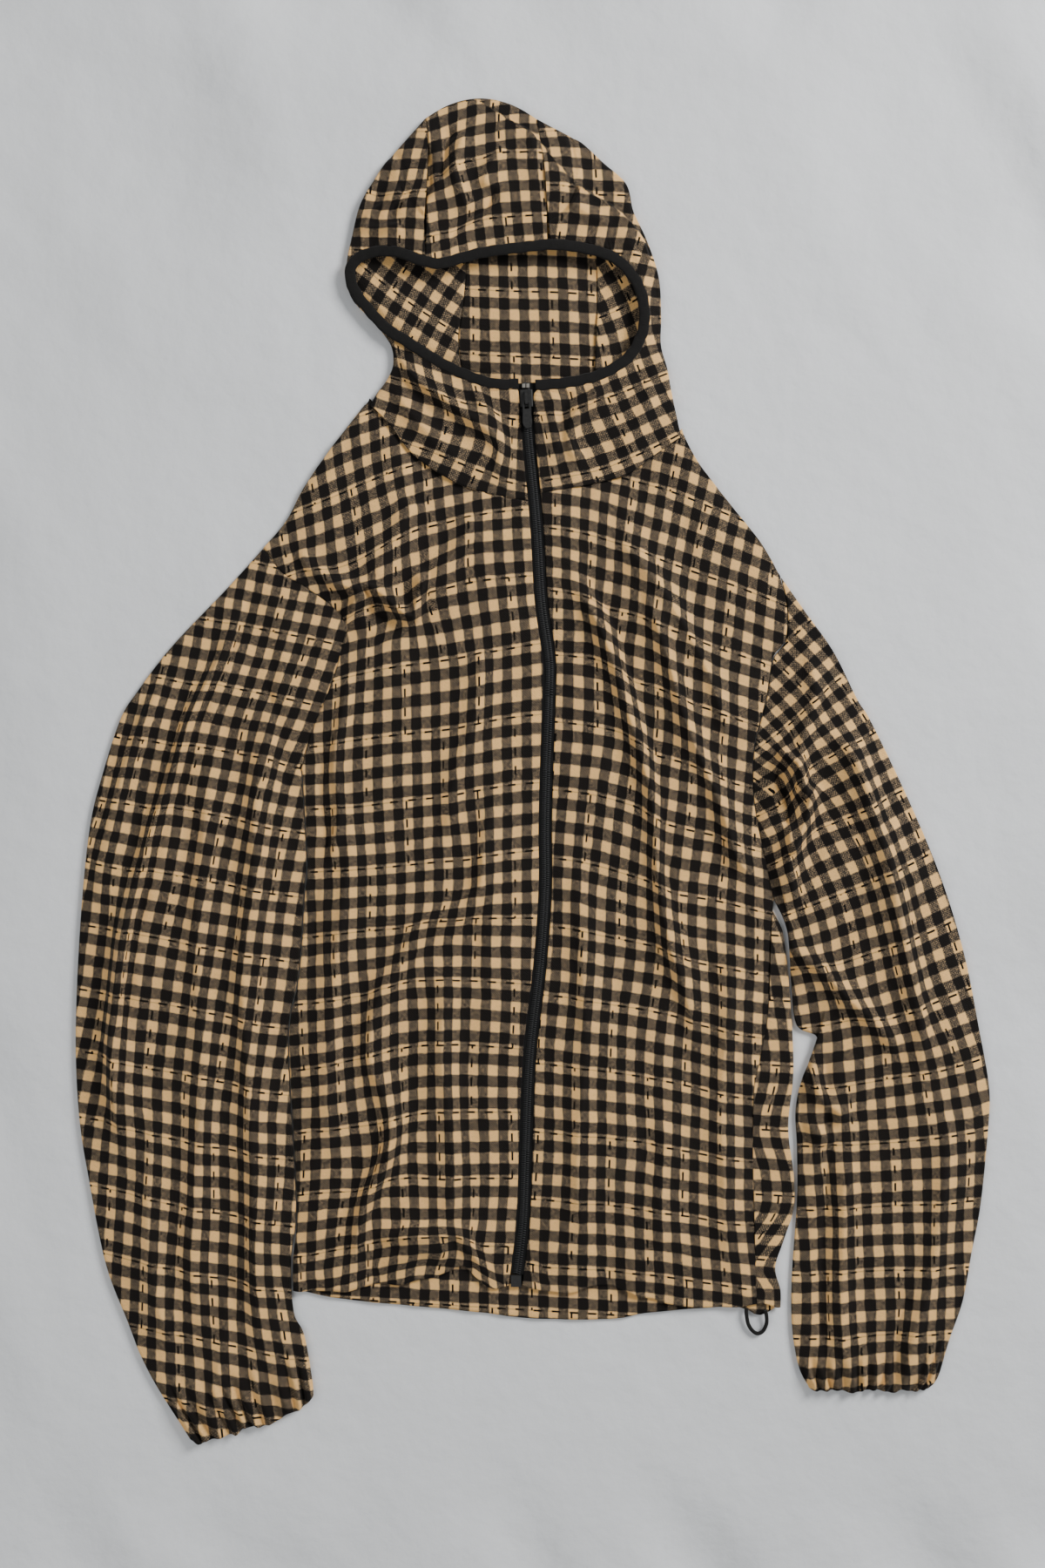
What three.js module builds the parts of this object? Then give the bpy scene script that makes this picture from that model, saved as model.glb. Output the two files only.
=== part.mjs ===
// Hooded zip jacket in checked cotton, laid flat on its back with the front up.
// Millimetres, +Z up, X across the jacket, Y from the hem towards the hood.
// The origin is under the middle of the whole outline, on the surface the jacket lies on.
import * as THREE from 'three';

// Cloth and layers
const WALL = 1.3; // one layer of crinkled double-woven cotton with its air
const GAP = 0.3; // between pieces at a seam and between layers that touch
const FLOOR_MID = WALL / 2; // middle of a layer that lies on the surface
const SECOND_MID = FLOOR_MID + WALL + GAP; // middle of the next layer up
const TURN = 3; // how far in from its edge a folded-over layer starts to turn
const FRONT_REST = SECOND_MID + 0.6; // middle of a front where it lies flat on the back
const SLEEVE_REST = SECOND_MID + 0.7; // the same for a sleeve's upper layer
const PLAN_CENTRE = { x: -0.573, y: 1.5 }; // middle of the outline in the plan's own grid

// Zip
const TAPE_WIDTH = 13;
const TAPE_THICK = 0.7;
const CHAIN_HALF = 3; // half the width of the closed coil
const CHAIN_HEIGHT = 1.5;
const FRONT_EDGE = 5.2; // from the zip's middle to the folded edge of each front
const SLIDER = { width: 9.6, length: 13, thick: 1.6, y: 286 };
const CROWN = { reach: 5.2, width: 2.2, thick: 1.0, clear: 2.2 };
const PULL = { width: 7.4, length: 21, thick: 1.4, bar: 0.8, eye: 1.7 };
const STOP = { width: 2.4, length: 3, thick: 1.2, offset: 1.6, y: 295.6 };
const PIN_BOX = { width: 8, length: 9, thick: 2.6, y: -392.5 };
const CHAIN_SPLIT = 0.15; // half the gap between the two halves of the coil
const ZIP_STEPS = 24;

// Face binding and hem cord
const BINDING_HALF = 4.2;
const BINDING_THICK_HALF = 1.3;
const RIM = BINDING_HALF + 2.2 * GAP; // from the binding's middle to the edge of the hood's cloth
const TUCKED = 1.2; // the same where the cloth is tucked under the binding
const BINDING_STEPS = 46;
const CORD_RADIUS = 1.5;

// Cuffs and hem
const CUFF_WAVES = 5;
const CUFF_WAVE_HEIGHT = 1.2;
const HEM_WAVES = 3;
const HEM_WAVE_HEIGHT = 0.9;

// How many points each panel has along and across, and how much its cloth lofts
const SIDE_ROWS = 16; // below an armhole; along it the rows meet the sleeve's points
const UNDERARM_ROWS = 5; // of them, where the left sleeve's inner edge runs along the armhole
const [FRONT_COLS, FRONT_LOFT, BACK_COLS] = [12, 2.6, 8];
const BACK_STRIP = [6, 4.5, 3, 1.5, 0]; // from the armhole's edge, before the side curls round
const [SLEEVE_ROWS, SLEEVE_UPPER, SLEEVE_LOWER, SLEEVE_LOFT] = [25, 16, 6, 2.8];
const [HOOD_ROWS, HOOD_UPPER, HOOD_LOWER] = [25, 6, 5];
const [CENTRE_ROWS, CENTRE_COLS] = [25, 8];
const FOREHEAD_STATIONS = [12.5, 19]; // of the binding's line, above the centre panel
const [STEP_LIFT, STEP_WIDTH] = [3.5, 2.5];
const SEAM_SIDE = GAP / 2;
const SLEEVE_SIDE = 0.3; // a sleeve's own side of its armhole seam
const HOOD_SEAM_SIDE = 0.4; // the same where two curved edges have different points
const SIDE_CLEAR = 1.2; // between the left sleeve and the body's side, which only lie together

const CHECK = 0xb79e7d;
const BLACK = 0x151412;
const METAL = 0x8a8378;

// A table: the names of its columns, then one row for each station.
const table = (columns, ...rows) => rows.map((row) => {
  const names = columns.split(' ');
  return Object.fromEntries(names.map((name, i) => [name, row[i]]));
});

// The zip's middle from its top stops to the pin, with the height of the tape's underside
const ZIP_LINE = table('x y z',
  [-6, 298, 6.6], [-4, 258, 6.0], [0, 218, 4.6], [3, 182, 3.8], [6, 131, 3.4], [12, 87, 3.2],
  [12, 57, 3.2], [10, 0, 3.0], [9, -44, 2.8], [9, -91, 2.8], [5, -149, 2.6], [-3, -220, 2.6],
  [-6, -292, 2.4], [-8, -346, 2.2], [-14, -397, 2.0]);

// Seams and edges of the body, each from its top or inner end
const NECK_LEFT = table('x y', [-4.3, 208], [-20, 209], [-54, 218], [-88, 239], [-107, 263], [-119, 276]);
const NECK_RIGHT = table('x y', [6, 213], [30, 216], [48, 219], [73, 225], [100, 243], [111, 250]);
const SHOULDER_LEFT = table('x y', [-126, 277], [-156, 245], [-177, 218], [-191, 192], [-208, 172]);
const SHOULDER_RIGHT = table('x y', [115, 252], [125, 235], [152, 205], [175, 176], [190, 150]);
const ARMHOLE_LEFT = table('x y',
  [-208, 172], [-195, 154], [-178, 143], [-162, 132], [-149, 121], [-143, 111]);
const UNDERARM_LEFT = table('x y',
  [-143, 111], [-147, 98], [-153, 75], [-163, 49], [-172, 27], [-179, 1]);
const ARMHOLE_RIGHT = table('x y',
  [190, 150], [195, 128], [195, 105], [191, 96], [184, 86], [179, 56], [170, 20], [169, -13],
  [172, -38], [180, -75], [185, -98]);
const SIDE_LEFT = table('x y',
  [-179, 1], [-175, -69], [-177, -97], [-181, -155], [-188, -190], [-189, -219], [-187, -257],
  [-183, -338], [-186, -375], [-186, -399]);
const SIDE_SEAM_RIGHT = table('x y',
  [185, -98], [183, -131], [181, -184], [175, -220], [170, -245], [169, -292], [170, -337],
  [171, -382], [172, -410]);
const SIDE_FOLD_RIGHT = table('x y',
  [187, -98], [193, -131], [197, -170], [200, -229], [196, -274], [200, -310], [200, -337],
  [193, -360], [186, -382], [190, -400], [190, -413]);
const HEM_LEFT = table('x y',
  [-186, -399], [-156, -403], [-126, -399], [-95, -399], [-66, -392], [-54, -388], [-44, -398],
  [-30, -408], [-19, -405]);
const HEM_RIGHT = table('x y',
  [-8, -403], [10, -405], [33, -405], [46, -400], [59, -399], [71, -403], [85, -409], [126, -413],
  [156, -412], [172, -410]);
const HEM_BACK = table('x y',
  [-186, -410], [-146, -417], [-75, -422], [-35, -425], [-1, -428], [59, -427], [91, -421],
  [156, -415], [175, -421], [190, -413]);
const NAPE = table('x y', [-126, 277], [-90, 268], [-54, 262], [0, 255], [47, 250], [85, 248], [115, 252]);

// Sleeve edges from the shoulder or armpit to the cuff
const SLEEVE_LEFT_OUTER = table('x y',
  [-208, 172], [-236, 141], [-278, 97], [-305, 62], [-319, 39], [-334, -8], [-342, -42], [-348, -97],
  [-352, -163], [-353, -219], [-350, -270], [-343, -314], [-330, -379], [-313, -424], [-302, -452],
  [-288, -478], [-265, -513]);
const SLEEVE_LEFT_INNER = table('x y',
  [-179, 1], [-175, -69], [-177, -97], [-181, -155], [-188, -190], [-189, -219], [-187, -257],
  [-183, -338], [-187, -375], [-185, -416], [-177, -434], [-171, -467], [-170, -480]);
const CUFF_LEFT = table('x y',
  [-265, -513], [-256, -515], [-231, -509], [-207, -502], [-174, -487], [-170, -480]);
const SLEEVE_RIGHT_OUTER = table('x y',
  [190.8, 149], [209, 123], [231, 92], [249, 56], [260, 38], [288, -20], [314, -82], [332, -141],
  [344, -201], [351, -241], [351, -270], [345, -332], [338, -370], [331, -408], [321, -437],
  [312, -466], [305, -474]);
const SLEEVE_RIGHT_INNER = table('x y',
  [185.4, -98.8], [196, -124], [199, -165], [203, -196], [219, -207], [207, -238], [202, -262],
  [203, -290], [203, -330], [199, -389], [199, -427], [204, -458], [212, -474]);
const CUFF_RIGHT = table('x y', [305, -474], [280, -476], [250, -477], [230, -476], [212, -474]);

// Hood seams beside the centre panel: forehead, over the crown fold, down the inside to the nape
const HOOD_SEAMS = table('leftX leftY rightX rightY z bow',
  [-83, 394.5, 10.5, 407.3, 13.0, 1], [-82, 420, 10, 420, 13.4, 1], [-82, 446, 10, 440, 12.2, 2],
  [-81, 474, 8, 467, 9.4, 6], [-82, 494, 4, 491, 6.0, 12], [-83, 500.5, 3, 499.5, 4.2, 15],
  [-83, 502, 3, 501, 2.4, 16], [-82, 499, 6, 498, FLOOR_MID, 14], [-75, 475, 20, 478, FLOOR_MID, 10],
  [-66, 440, 38, 440, FLOOR_MID, 4], [-53, 400, 48, 400, FLOOR_MID, 0],
  [-54, 363, 49, 360, FLOOR_MID, 0], [-58, 334, 48, 325, FLOOR_MID, 0],
  [-55, 300, 47, 295, FLOOR_MID, 0], [-54, 263, 47, 251.5, FLOOR_MID, 0]);

// Side panels of the hood, a row from the face edge or zip, round the side fold, to the seam.
// rim is the station on the binding's line, tuck is 1 where the edge lies under the binding,
// seam is the station on HOOD_SEAMS, and neck is how much the row follows the neck seam.
const HOOD_LEFT_ROWS = table('rim tuck foldX foldY foldTop foldLow seam neck zipY',
  [13.25, 0, -84, 420, 13.2, 13.2, 2, 0],
  [12.2, 0, -97, 434, 12.0, 12.0, 2.9, 0],
  [11.4, 0, -103, 460, 9.4, 8.4, 4.1, 0],
  [10.8, 0.5, -111, 470, 5.6, 2.4, 5.8, 0],
  [10.3, 0.5, -123, 454, 5.4, FLOOR_MID, 7.3, 0],
  [9.8, 1, -133, 436, 5.0, FLOOR_MID, 8.0, 0],
  [9.3, 1, -139, 412, 4.2, FLOOR_MID, 9.0, 0],
  [8.7, 1, -143, 394, 3.6, FLOOR_MID, 9.8, 0],
  [8.1, 1, -144, 378, 3.6, FLOOR_MID, 10.5, 0],
  [7.4, 1, -139, 363, 3.6, FLOOR_MID, 11.2, 0],
  [6.6, 1, -128, 351, 3.8, FLOOR_MID, 11.8, 0],
  [5.9, 0.5, -117, 339, 4.4, FLOOR_MID, 12.3, 0],
  [5.1, 0.5, -109, 326, 4.6, FLOOR_MID, 12.7, 0],
  [4.2, 0, -108, 312, 5.2, FLOOR_MID, 13.0, 0],
  [3.1, 0, -112, 302, 5.2, FLOOR_MID, 13.3, 0],
  [2.0, 0, -116, 296, 5.2, FLOOR_MID, 13.5, 0],
  [1.2, 0, -118, 293.5, 5.2, FLOOR_MID, 13.6, 0.05],
  [0.5, 0, -119.5, 291.5, 5.2, FLOOR_MID, 13.65, 0.08],
  [0.1, 0, -121, 289.5, 5.0, FLOOR_MID, 13.7, 0.1],
  [0, 0, -122.5, 287, 4.9, FLOOR_MID, 13.8, 0.25, 278],
  [0, 0, -124, 284.5, 4.8, FLOOR_MID, 13.87, 0.55, 250],
  [0, 0, -125.5, 281, 4.6, FLOOR_MID, 14, 1, 208.6]);
const HOOD_RIGHT_ROWS = table('rim tuck foldX foldY foldTop foldLow seam neck zipY',
  [17.86, 0, 11.4, 424, 13.2, 13.2, 2, 0],
  [18.6, 0, 27, 438, 12.4, 12.4, 2.9, 0],
  [19.2, 0, 34, 462, 9.0, 8.0, 4.2, 0],
  [19.85, 0, 33, 485, 4.4, 2.4, 5.8, 0],
  [20.5, 0, 55, 467, 4.2, FLOOR_MID, 7.6, 0],
  [21.1, 0, 71, 452, 4.2, FLOOR_MID, 8.4, 0],
  [21.7, 0, 76, 432, 4.2, FLOOR_MID, 9.2, 0],
  [22.3, 0, 87, 408, 4.4, FLOOR_MID, 10.0, 0],
  [23.0, 0, 96, 380, 4.6, FLOOR_MID, 11.0, 0],
  [23.9, 0, 98, 350, 4.8, FLOOR_MID, 11.8, 0],
  [24.9, 0, 98, 328, 5.0, FLOOR_MID, 12.6, 0],
  [25.8, 0, 103, 309, 5.2, FLOOR_MID, 13.0, 0],
  [26.9, 0, 106, 292, 5.2, FLOOR_MID, 13.3, 0],
  [28.0, 0, 108.5, 280, 5.2, FLOOR_MID, 13.5, 0],
  [28.9, 0, 110.5, 271, 5.0, FLOOR_MID, 13.65, 0.1],
  [29, 0, 111.5, 266, 4.9, FLOOR_MID, 13.75, 0.25, 280],
  [29, 0, 112.7, 261.5, 4.8, FLOOR_MID, 13.85, 0.55, 252],
  [29, 0, 114, 257, 4.6, FLOOR_MID, 14, 1, 213.6]);

// The face binding's middle line, from the zip up the wearer's right and back down to the zip
const BINDING_LINE = table('x y z',
  [-11.5, 297, 8.6], [-29, 297, 8.6], [-47, 302, 8.5], [-65, 310, 8.2], [-81, 319, 7.6], [-99, 331, 7.0],
  [-113, 340, 6.8], [-128, 356, 6.6], [-138, 370, 6.4], [-141, 383, 6.5], [-136, 393, 7.0],
  [-122, 398.5, 9.0], [-104, 397.5, 12.0], [-88, 391.5, 13.0], [-72, 388.5, 13.0], [-56, 392.5, 13.0],
  [-38, 397, 13.0], [-8, 401, 13.0], [16, 403, 13.0], [41, 400, 12.2], [59, 394.5, 11.4],
  [71, 385.5, 10.8], [81, 371, 10.0], [85, 354, 9.6], [84, 338, 9.2], [77, 322.5, 8.8],
  [66, 312, 8.6], [48, 303, 8.6], [25, 298, 8.6], [1.5, 296, 8.6]);

const CORD_LINE = table('x y z',
  [164, -413.6, 3.3], [164, -418, 3.2], [165.5, -426, 2.2], [169, -431.5, 1.6], [173, -433.5, 1.55],
  [177, -431.5, 1.6], [179.5, -426, 2.0], [179.5, -420, 3.1], [178.5, -415.4, 3.3]);

// The fold of the hood's upper layer on the right, where the cloth steps down and shows again
const HOOD_STEP = table('x y',
  [-24, 504], [3, 486], [16, 468], [32, 449], [55, 436], [73, 421], [89, 403], [96, 383]);

// Folds laid on the upper layers. Each is a smooth line with a height (negative for a trough)
// and its reach to the left and right of the line's direction.
const fold = (height, left, right, ...line) => ({
  height, left, right, line: line.map(([x, y]) => ({ x, y })),
});
const BODY_FOLDS = [
  fold(7, 16, 9, [20, 170], [35, 135], [52, 102], [67, 65], [81, 21], [89, -38], [93, -78],
    [104, -133], [113, -157], [122, -194], [125, -224]),
  fold(-3, 9, 7, [28, 175], [45, 135], [62, 102], [77, 65], [92, 21], [99, -38], [103, -78], [114, -133]),
  fold(6, 13, 10, [88, 131], [98, 97], [110, 65], [122, 29], [133, -9], [150, -44], [164, -71], [176, -84]),
  fold(4, 10, 12, [100, -262], [100, -292], [97, -319], [99, -370]),
  fold(4, 14, 12, [148, -120], [150, -180], [144, -250], [147, -330], [150, -390]),
  fold(4, 14, 12, [30, -60], [36, -130], [40, -210], [34, -300], [38, -380]),
  fold(5, 12, 12, [60, 180], [82, 160], [110, 120], [136, 70], [150, 20]),
  fold(4, 12, 10, [-173, 175], [-169, 159], [-150, 144], [-130, 131]),
  fold(7, 10, 8, [-132, 142], [-112, 131], [-93, 120]),
  fold(5, 8, 9, [-97, 116], [-106, 104], [-122, 94]),
  fold(-3, 8, 8, [-128, 124], [-112, 118], [-100, 113]),
  fold(4.5, 14, 12, [-39, 100], [-43, 56], [-49, 27], [-60, -3], [-66, -50]),
  fold(6, 15, 10, [-21, -5], [-32, -28], [-37, -52], [-41, -91], [-56, -108], [-87, -121], [-103, -149],
    [-119, -175], [-126, -220], [-114, -248], [-109, -275], [-116, -307], [-134, -345], [-136, -380]),
  fold(4, 12, 12, [-144, -13], [-142, -52], [-144, -85], [-152, -150], [-158, -230], [-154, -310]),
  fold(4.5, 12, 14, [-66, -150], [-70, -220], [-62, -290], [-66, -350]),
  fold(9, 16, 12, [-128, -386], [-108, -377], [-86, -368], [-62, -372]),
  fold(4, 12, 12, [-90, 210], [-112, 170], [-122, 145]),
];
const SLEEVE_LEFT_FOLDS = [
  fold(9, 14, 7, [-218, 150], [-228, 118], [-240, 84], [-255, 56], [-266, 30], [-277, -5], [-288, -36],
    [-297, -62], [-312, -111], [-317, -144], [-321, -182], [-323, -219], [-318, -270], [-310, -314]),
  fold(-4, 6, 9, [-212, 158], [-221, 124], [-233, 90], [-247, 62], [-259, 34], [-269, 0], [-280, -32],
    [-290, -60], [-304, -111], [-309, -144], [-312, -190], [-313, -230]),
  fold(6, 10, 8, [-284, 77], [-303, 30], [-319, -13], [-333, -60], [-338, -110]),
  fold(7, 16, 12, [-190, 90], [-202, 40], [-212, -20], [-214, -90], [-222, -150], [-219, -230], [-214, -320],
    [-212, -410], [-208, -470]),
  fold(4.5, 12, 12, [-246, 40], [-252, -50], [-258, -120], [-256, -178], [-254, -228], [-258, -300],
    [-262, -380], [-248, -460]),
  fold(3.5, 9, 9, [-290, -250], [-296, -330], [-290, -400], [-276, -450]),
  fold(3.5, 9, 9, [-236, -400], [-240, -450], [-246, -500]),
  fold(-3, 8, 8, [-207, 71], [-195, 30], [-192, 1], [-188, -20]),
];
const SLEEVE_RIGHT_FOLDS = [
  fold(8, 12, 16, [211, 36], [240, 20], [252, -6], [264, -46], [272, -70], [280, -111], [288, -151],
    [296, -190], [300, -240]),
  fold(7, 10, 10, [192, -133], [219, -151], [240, -173], [260, -191], [284, -219]),
  fold(6, 9, 9, [206, -215], [216, -240], [226, -256], [244, -266]),
  fold(5, 8, 8, [204, -262], [214, -276], [232, -286]),
  fold(-3.5, 7, 8, [222, -206], [227, -260], [225, -332], [221, -399], [221, -427], [227, -460]),
  fold(5, 12, 12, [240, -290], [238, -350], [236, -420], [240, -465]),
  fold(4.5, 12, 12, [318, -250], [314, -320], [304, -390], [290, -440], [284, -470]),
  fold(-3, 6, 6, [290, -399], [279, -433], [276, -470]),
  fold(9, 9, 9, [174, 6], [186, -8], [196, -26], [197, -50]),
  fold(5, 10, 10, [206, 100], [216, 60], [206, 20], [196, -60], [204, -110]),
];
const HOOD_FOLDS = [
  fold(3.5, 9, 8, [-99, 316], [-79, 293], [-56, 272], [-34, 265], [-24, 248], [-26, 231]),
  fold(3, 8, 8, [-110, 300], [-92, 274], [-66, 248], [-44, 232]),
  fold(3.5, 8, 8, [33, 290], [28, 270], [25, 245]),
  fold(3, 9, 9, [80, 300], [76, 272], [60, 246]),
  fold(3, 10, 10, [-68, 484], [-63, 440], [-62, 410]),
  fold(3, 10, 10, [-20, 490], [-30, 450], [-28, 418]),
];

// A smooth curve through a table's rows, followed by its share of the length between them.
function along(rows) {
  const keys = Object.keys(rows[0]);
  const reach = [0];
  for (let i = 1; i < rows.length; i += 1) {
    reach.push(reach[i - 1] + Math.hypot(rows[i].x - rows[i - 1].x, rows[i].y - rows[i - 1].y));
  }
  return (share) => {
    const at = share * reach[reach.length - 1];
    let i = 1;
    while (i < rows.length - 1 && reach[i] < at) i += 1;
    return atStation(rows, keys, i - 1 + (at - reach[i - 1]) / (reach[i] - reach[i - 1]));
  };
}

// The smooth value of every column at a station between rows; whole numbers are the rows.
function atStation(rows, keys, station) {
  const i = Math.min(Math.floor(station), rows.length - 2);
  const f = station - i;
  const [a, b, c, d] = [Math.max(i - 1, 0), i, i + 1, Math.min(i + 2, rows.length - 1)].map((k) => rows[k]);
  const smooth = (p, q, r, s) => 0.5 * (2 * q + (r - p) * f + (2 * p - 5 * q + 4 * r - s) * f * f
    + (3 * q - p - 3 * r + s) * f * f * f);
  return Object.fromEntries(keys.map((key) => [key, smooth(a[key], b[key], c[key], d[key])]));
}

// Two or more curves end to end as one, each with its share of the whole.
function joined(...parts) {
  return (share) => {
    let start = 0;
    for (const { curve, portion } of parts) {
      if (share <= start + portion + 1e-9) return curve(Math.min((share - start) / portion, 1));
      start += portion;
    }
    return parts[parts.length - 1].curve(1);
  };
}

const NEAR = 0.004; // share of a curve's length over which its direction is taken

// The same curve moved sideways, to the left of its direction for a positive distance.
function beside(curve, distance) {
  return (share) => {
    const here = curve(share);
    const before = curve(Math.max(share - NEAR, 0));
    const after = curve(Math.min(share + NEAR, 1));
    const run = Math.hypot(after.x - before.x, after.y - before.y);
    return {
      ...here,
      x: here.x - (distance * (after.y - before.y)) / run,
      y: here.y + (distance * (after.x - before.x)) / run,
    };
  };
}

const ease = (value) => {
  const v = Math.min(Math.max(value, 0), 1);
  return v * v * (3 - 2 * v);
};
const mix = (a, b, share) => a + (b - a) * share;

// A patch between four edge curves: s runs from left to right, t from top to bottom.
function patch({ top, bottom, left, right }) {
  return (s, t) => {
    const [p, q, l, r] = [top(s), bottom(s), left(t), right(t)];
    const corners = [top(0), top(1), bottom(0), bottom(1)];
    const blend = (key) => mix(p[key], q[key], t) + mix(l[key], r[key], s)
      - mix(mix(corners[0][key], corners[1][key], s), mix(corners[2][key], corners[3][key], s), t);
    return { x: blend('x'), y: blend('y') };
  };
}

// Height that a list of folds adds at a point of the plan. Each fold fades out at its two ends.
const FOLD_STEPS = 28;
function foldHeight(folds) {
  const sampled = folds.map(({ height, left, right, line }) => {
    const curve = along(line);
    const points = Array.from({ length: FOLD_STEPS + 1 }, (_, i) => curve(i / FOLD_STEPS));
    return { height, left, right, points };
  });
  return (x, y) => sampled.reduce((sum, { height, left, right, points }) => {
    let nearest = { distance: Infinity };
    for (let i = 0; i < FOLD_STEPS; i += 1) {
      const [a, b] = [points[i], points[i + 1]];
      const [dx, dy] = [b.x - a.x, b.y - a.y];
      const f = Math.min(Math.max(((x - a.x) * dx + (y - a.y) * dy) / (dx * dx + dy * dy), 0), 1);
      const distance = Math.hypot(x - a.x - f * dx, y - a.y - f * dy);
      if (distance < nearest.distance) {
        const side = dx * (y - a.y) - dy * (x - a.x);
        nearest = { distance, width: side > 0 ? left : right, share: (i + f) / FOLD_STEPS };
      }
    }
    const fade = ease(nearest.share / 0.18) * ease((1 - nearest.share) / 0.18);
    return sum + height * fade * Math.exp(-((nearest.distance / nearest.width) ** 2));
  }, 0);
}

// Gives a closed mesh its faces, turned over if they would enclose a negative volume.
function facingOut(geometry, faces) {
  const point = (i) => new THREE.Vector3().fromBufferAttribute(geometry.attributes.position, i);
  let volume = 0;
  for (let i = 0; i < faces.length; i += 3) {
    volume += point(faces[i]).dot(point(faces[i + 1]).cross(point(faces[i + 2])));
  }
  geometry.setIndex(volume > 0 ? faces : faces.slice().reverse());
  geometry.computeVertexNormals();
  return geometry;
}

// A closed solid from a grid of points on the middle of a wall. The rows close into a tube
// when ring is true, and otherwise every edge has a rim.
function wallFromGrid(grid, ring = false, thick = WALL) {
  const [rows, cols] = [grid.length, grid[0].length];
  const pick = (i, j) => grid[Math.min(Math.max(i, 0), rows - 1)][
    ring ? (j + cols) % cols : Math.min(Math.max(j, 0), cols - 1)];
  const positions = [];
  for (const side of [0.5, -0.5]) {
    for (let i = 0; i < rows; i += 1) {
      for (let j = 0; j < cols; j += 1) {
        const down = pick(i + 1, j).clone().sub(pick(i - 1, j));
        const across = pick(i, j + 1).clone().sub(pick(i, j - 1));
        const normal = down.cross(across).normalize();
        const edge = i === 0 || i === rows - 1 || (!ring && (j === 0 || j === cols - 1));
        if (edge && Math.abs(normal.z) > 0.5) normal.set(0, 0, Math.sign(normal.z));
        positions.push(...grid[i][j].clone().addScaledVector(normal, side * thick).toArray());
      }
    }
  }
  const at = (layer, i, j) => layer * rows * cols + i * cols + (j % cols);
  const faces = [];
  const quad = (a, b, c, d) => faces.push(a, b, c, a, c, d);
  const spans = ring ? cols : cols - 1;
  for (let i = 0; i < rows - 1; i += 1) {
    for (let j = 0; j < spans; j += 1) {
      quad(at(0, i, j), at(0, i + 1, j), at(0, i + 1, j + 1), at(0, i, j + 1));
      quad(at(1, i, j), at(1, i, j + 1), at(1, i + 1, j + 1), at(1, i + 1, j));
    }
  }
  for (let j = 0; j < spans; j += 1) {
    quad(at(0, 0, j), at(0, 0, j + 1), at(1, 0, j + 1), at(1, 0, j));
    quad(at(0, rows - 1, j + 1), at(0, rows - 1, j), at(1, rows - 1, j), at(1, rows - 1, j + 1));
  }
  if (!ring) {
    for (let i = 0; i < rows - 1; i += 1) {
      quad(at(0, i + 1, 0), at(0, i, 0), at(1, i, 0), at(1, i + 1, 0));
      quad(at(0, i, cols - 1), at(0, i + 1, cols - 1), at(1, i + 1, cols - 1), at(1, i, cols - 1));
    }
  }
  const geometry = new THREE.BufferGeometry();
  geometry.setAttribute('position', new THREE.Float32BufferAttribute(positions, 3));
  return facingOut(geometry, faces);
}

// A solid bar of one section swept along a plan line that rises and falls; the section's
// points are [across, up].
function sweep(curve, steps, outline) {
  const flat = outline.map(([across, up]) => new THREE.Vector2(across, up));
  const section = THREE.ShapeUtils.isClockWise(flat) ? outline.slice().reverse() : outline;
  const positions = [];
  for (let i = 0; i <= steps; i += 1) {
    const here = curve(i / steps);
    const before = curve(Math.max(i / steps - NEAR, 0));
    const after = curve(Math.min(i / steps + NEAR, 1));
    const run = Math.hypot(after.x - before.x, after.y - before.y);
    const [sx, sy] = [(after.y - before.y) / run, -(after.x - before.x) / run];
    for (const [across, up] of section) {
      positions.push(here.x + sx * across, here.y + sy * across, here.z + up);
    }
  }
  const n = section.length;
  const faces = [];
  for (let i = 0; i < steps; i += 1) {
    for (let j = 0; j < n; j += 1) {
      const [a, b] = [i * n + j, i * n + ((j + 1) % n)];
      faces.push(a, b, b + n, a, b + n, a + n);
    }
  }
  const cap = THREE.ShapeUtils.triangulateShape(section.map(([u, v]) => new THREE.Vector2(u, v)), []);
  for (const [a, b, c] of cap) {
    faces.push(a, c, b);
    faces.push(steps * n + a, steps * n + b, steps * n + c);
  }
  const geometry = new THREE.BufferGeometry();
  geometry.setAttribute('position', new THREE.Float32BufferAttribute(positions, 3));
  return facingOut(geometry, faces);
}

const vec = (x, y, z) => new THREE.Vector3(x, y, z);
const trimmed = (curve, from, to) => (share) => curve(mix(from, to, share));
const zip = along(ZIP_LINE);
const bodyFold = foldHeight(BODY_FOLDS);
const hoodFold = foldHeight(HOOD_FOLDS);

const HALVINGS = 24; // steps of a search by halves

// How far along the zip, as a share, the given Y lies.
function zipShare(y) {
  let [low, high] = [0, 1];
  for (let i = 0; i < HALVINGS; i += 1) {
    const middle = (low + high) / 2;
    if (zip(middle).y > y) low = middle;
    else high = middle;
  }
  return (low + high) / 2;
}
const overTape = (y) => zip(zipShare(y)).z + TAPE_THICK + GAP + WALL / 2;

// Shares of an armhole's length where a sleeve's layer and the panel beside it both have points.
function armholeShares(armhole, count) {
  const [from, to] = [armhole(0), armhole(1)];
  const inset = TURN / Math.hypot(to.x - from.x, to.y - from.y);
  const between = Array.from({ length: count }, (_, i) => mix(inset, 1 - inset, i / (count - 1)));
  return [0, ...between, 1];
}

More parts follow.
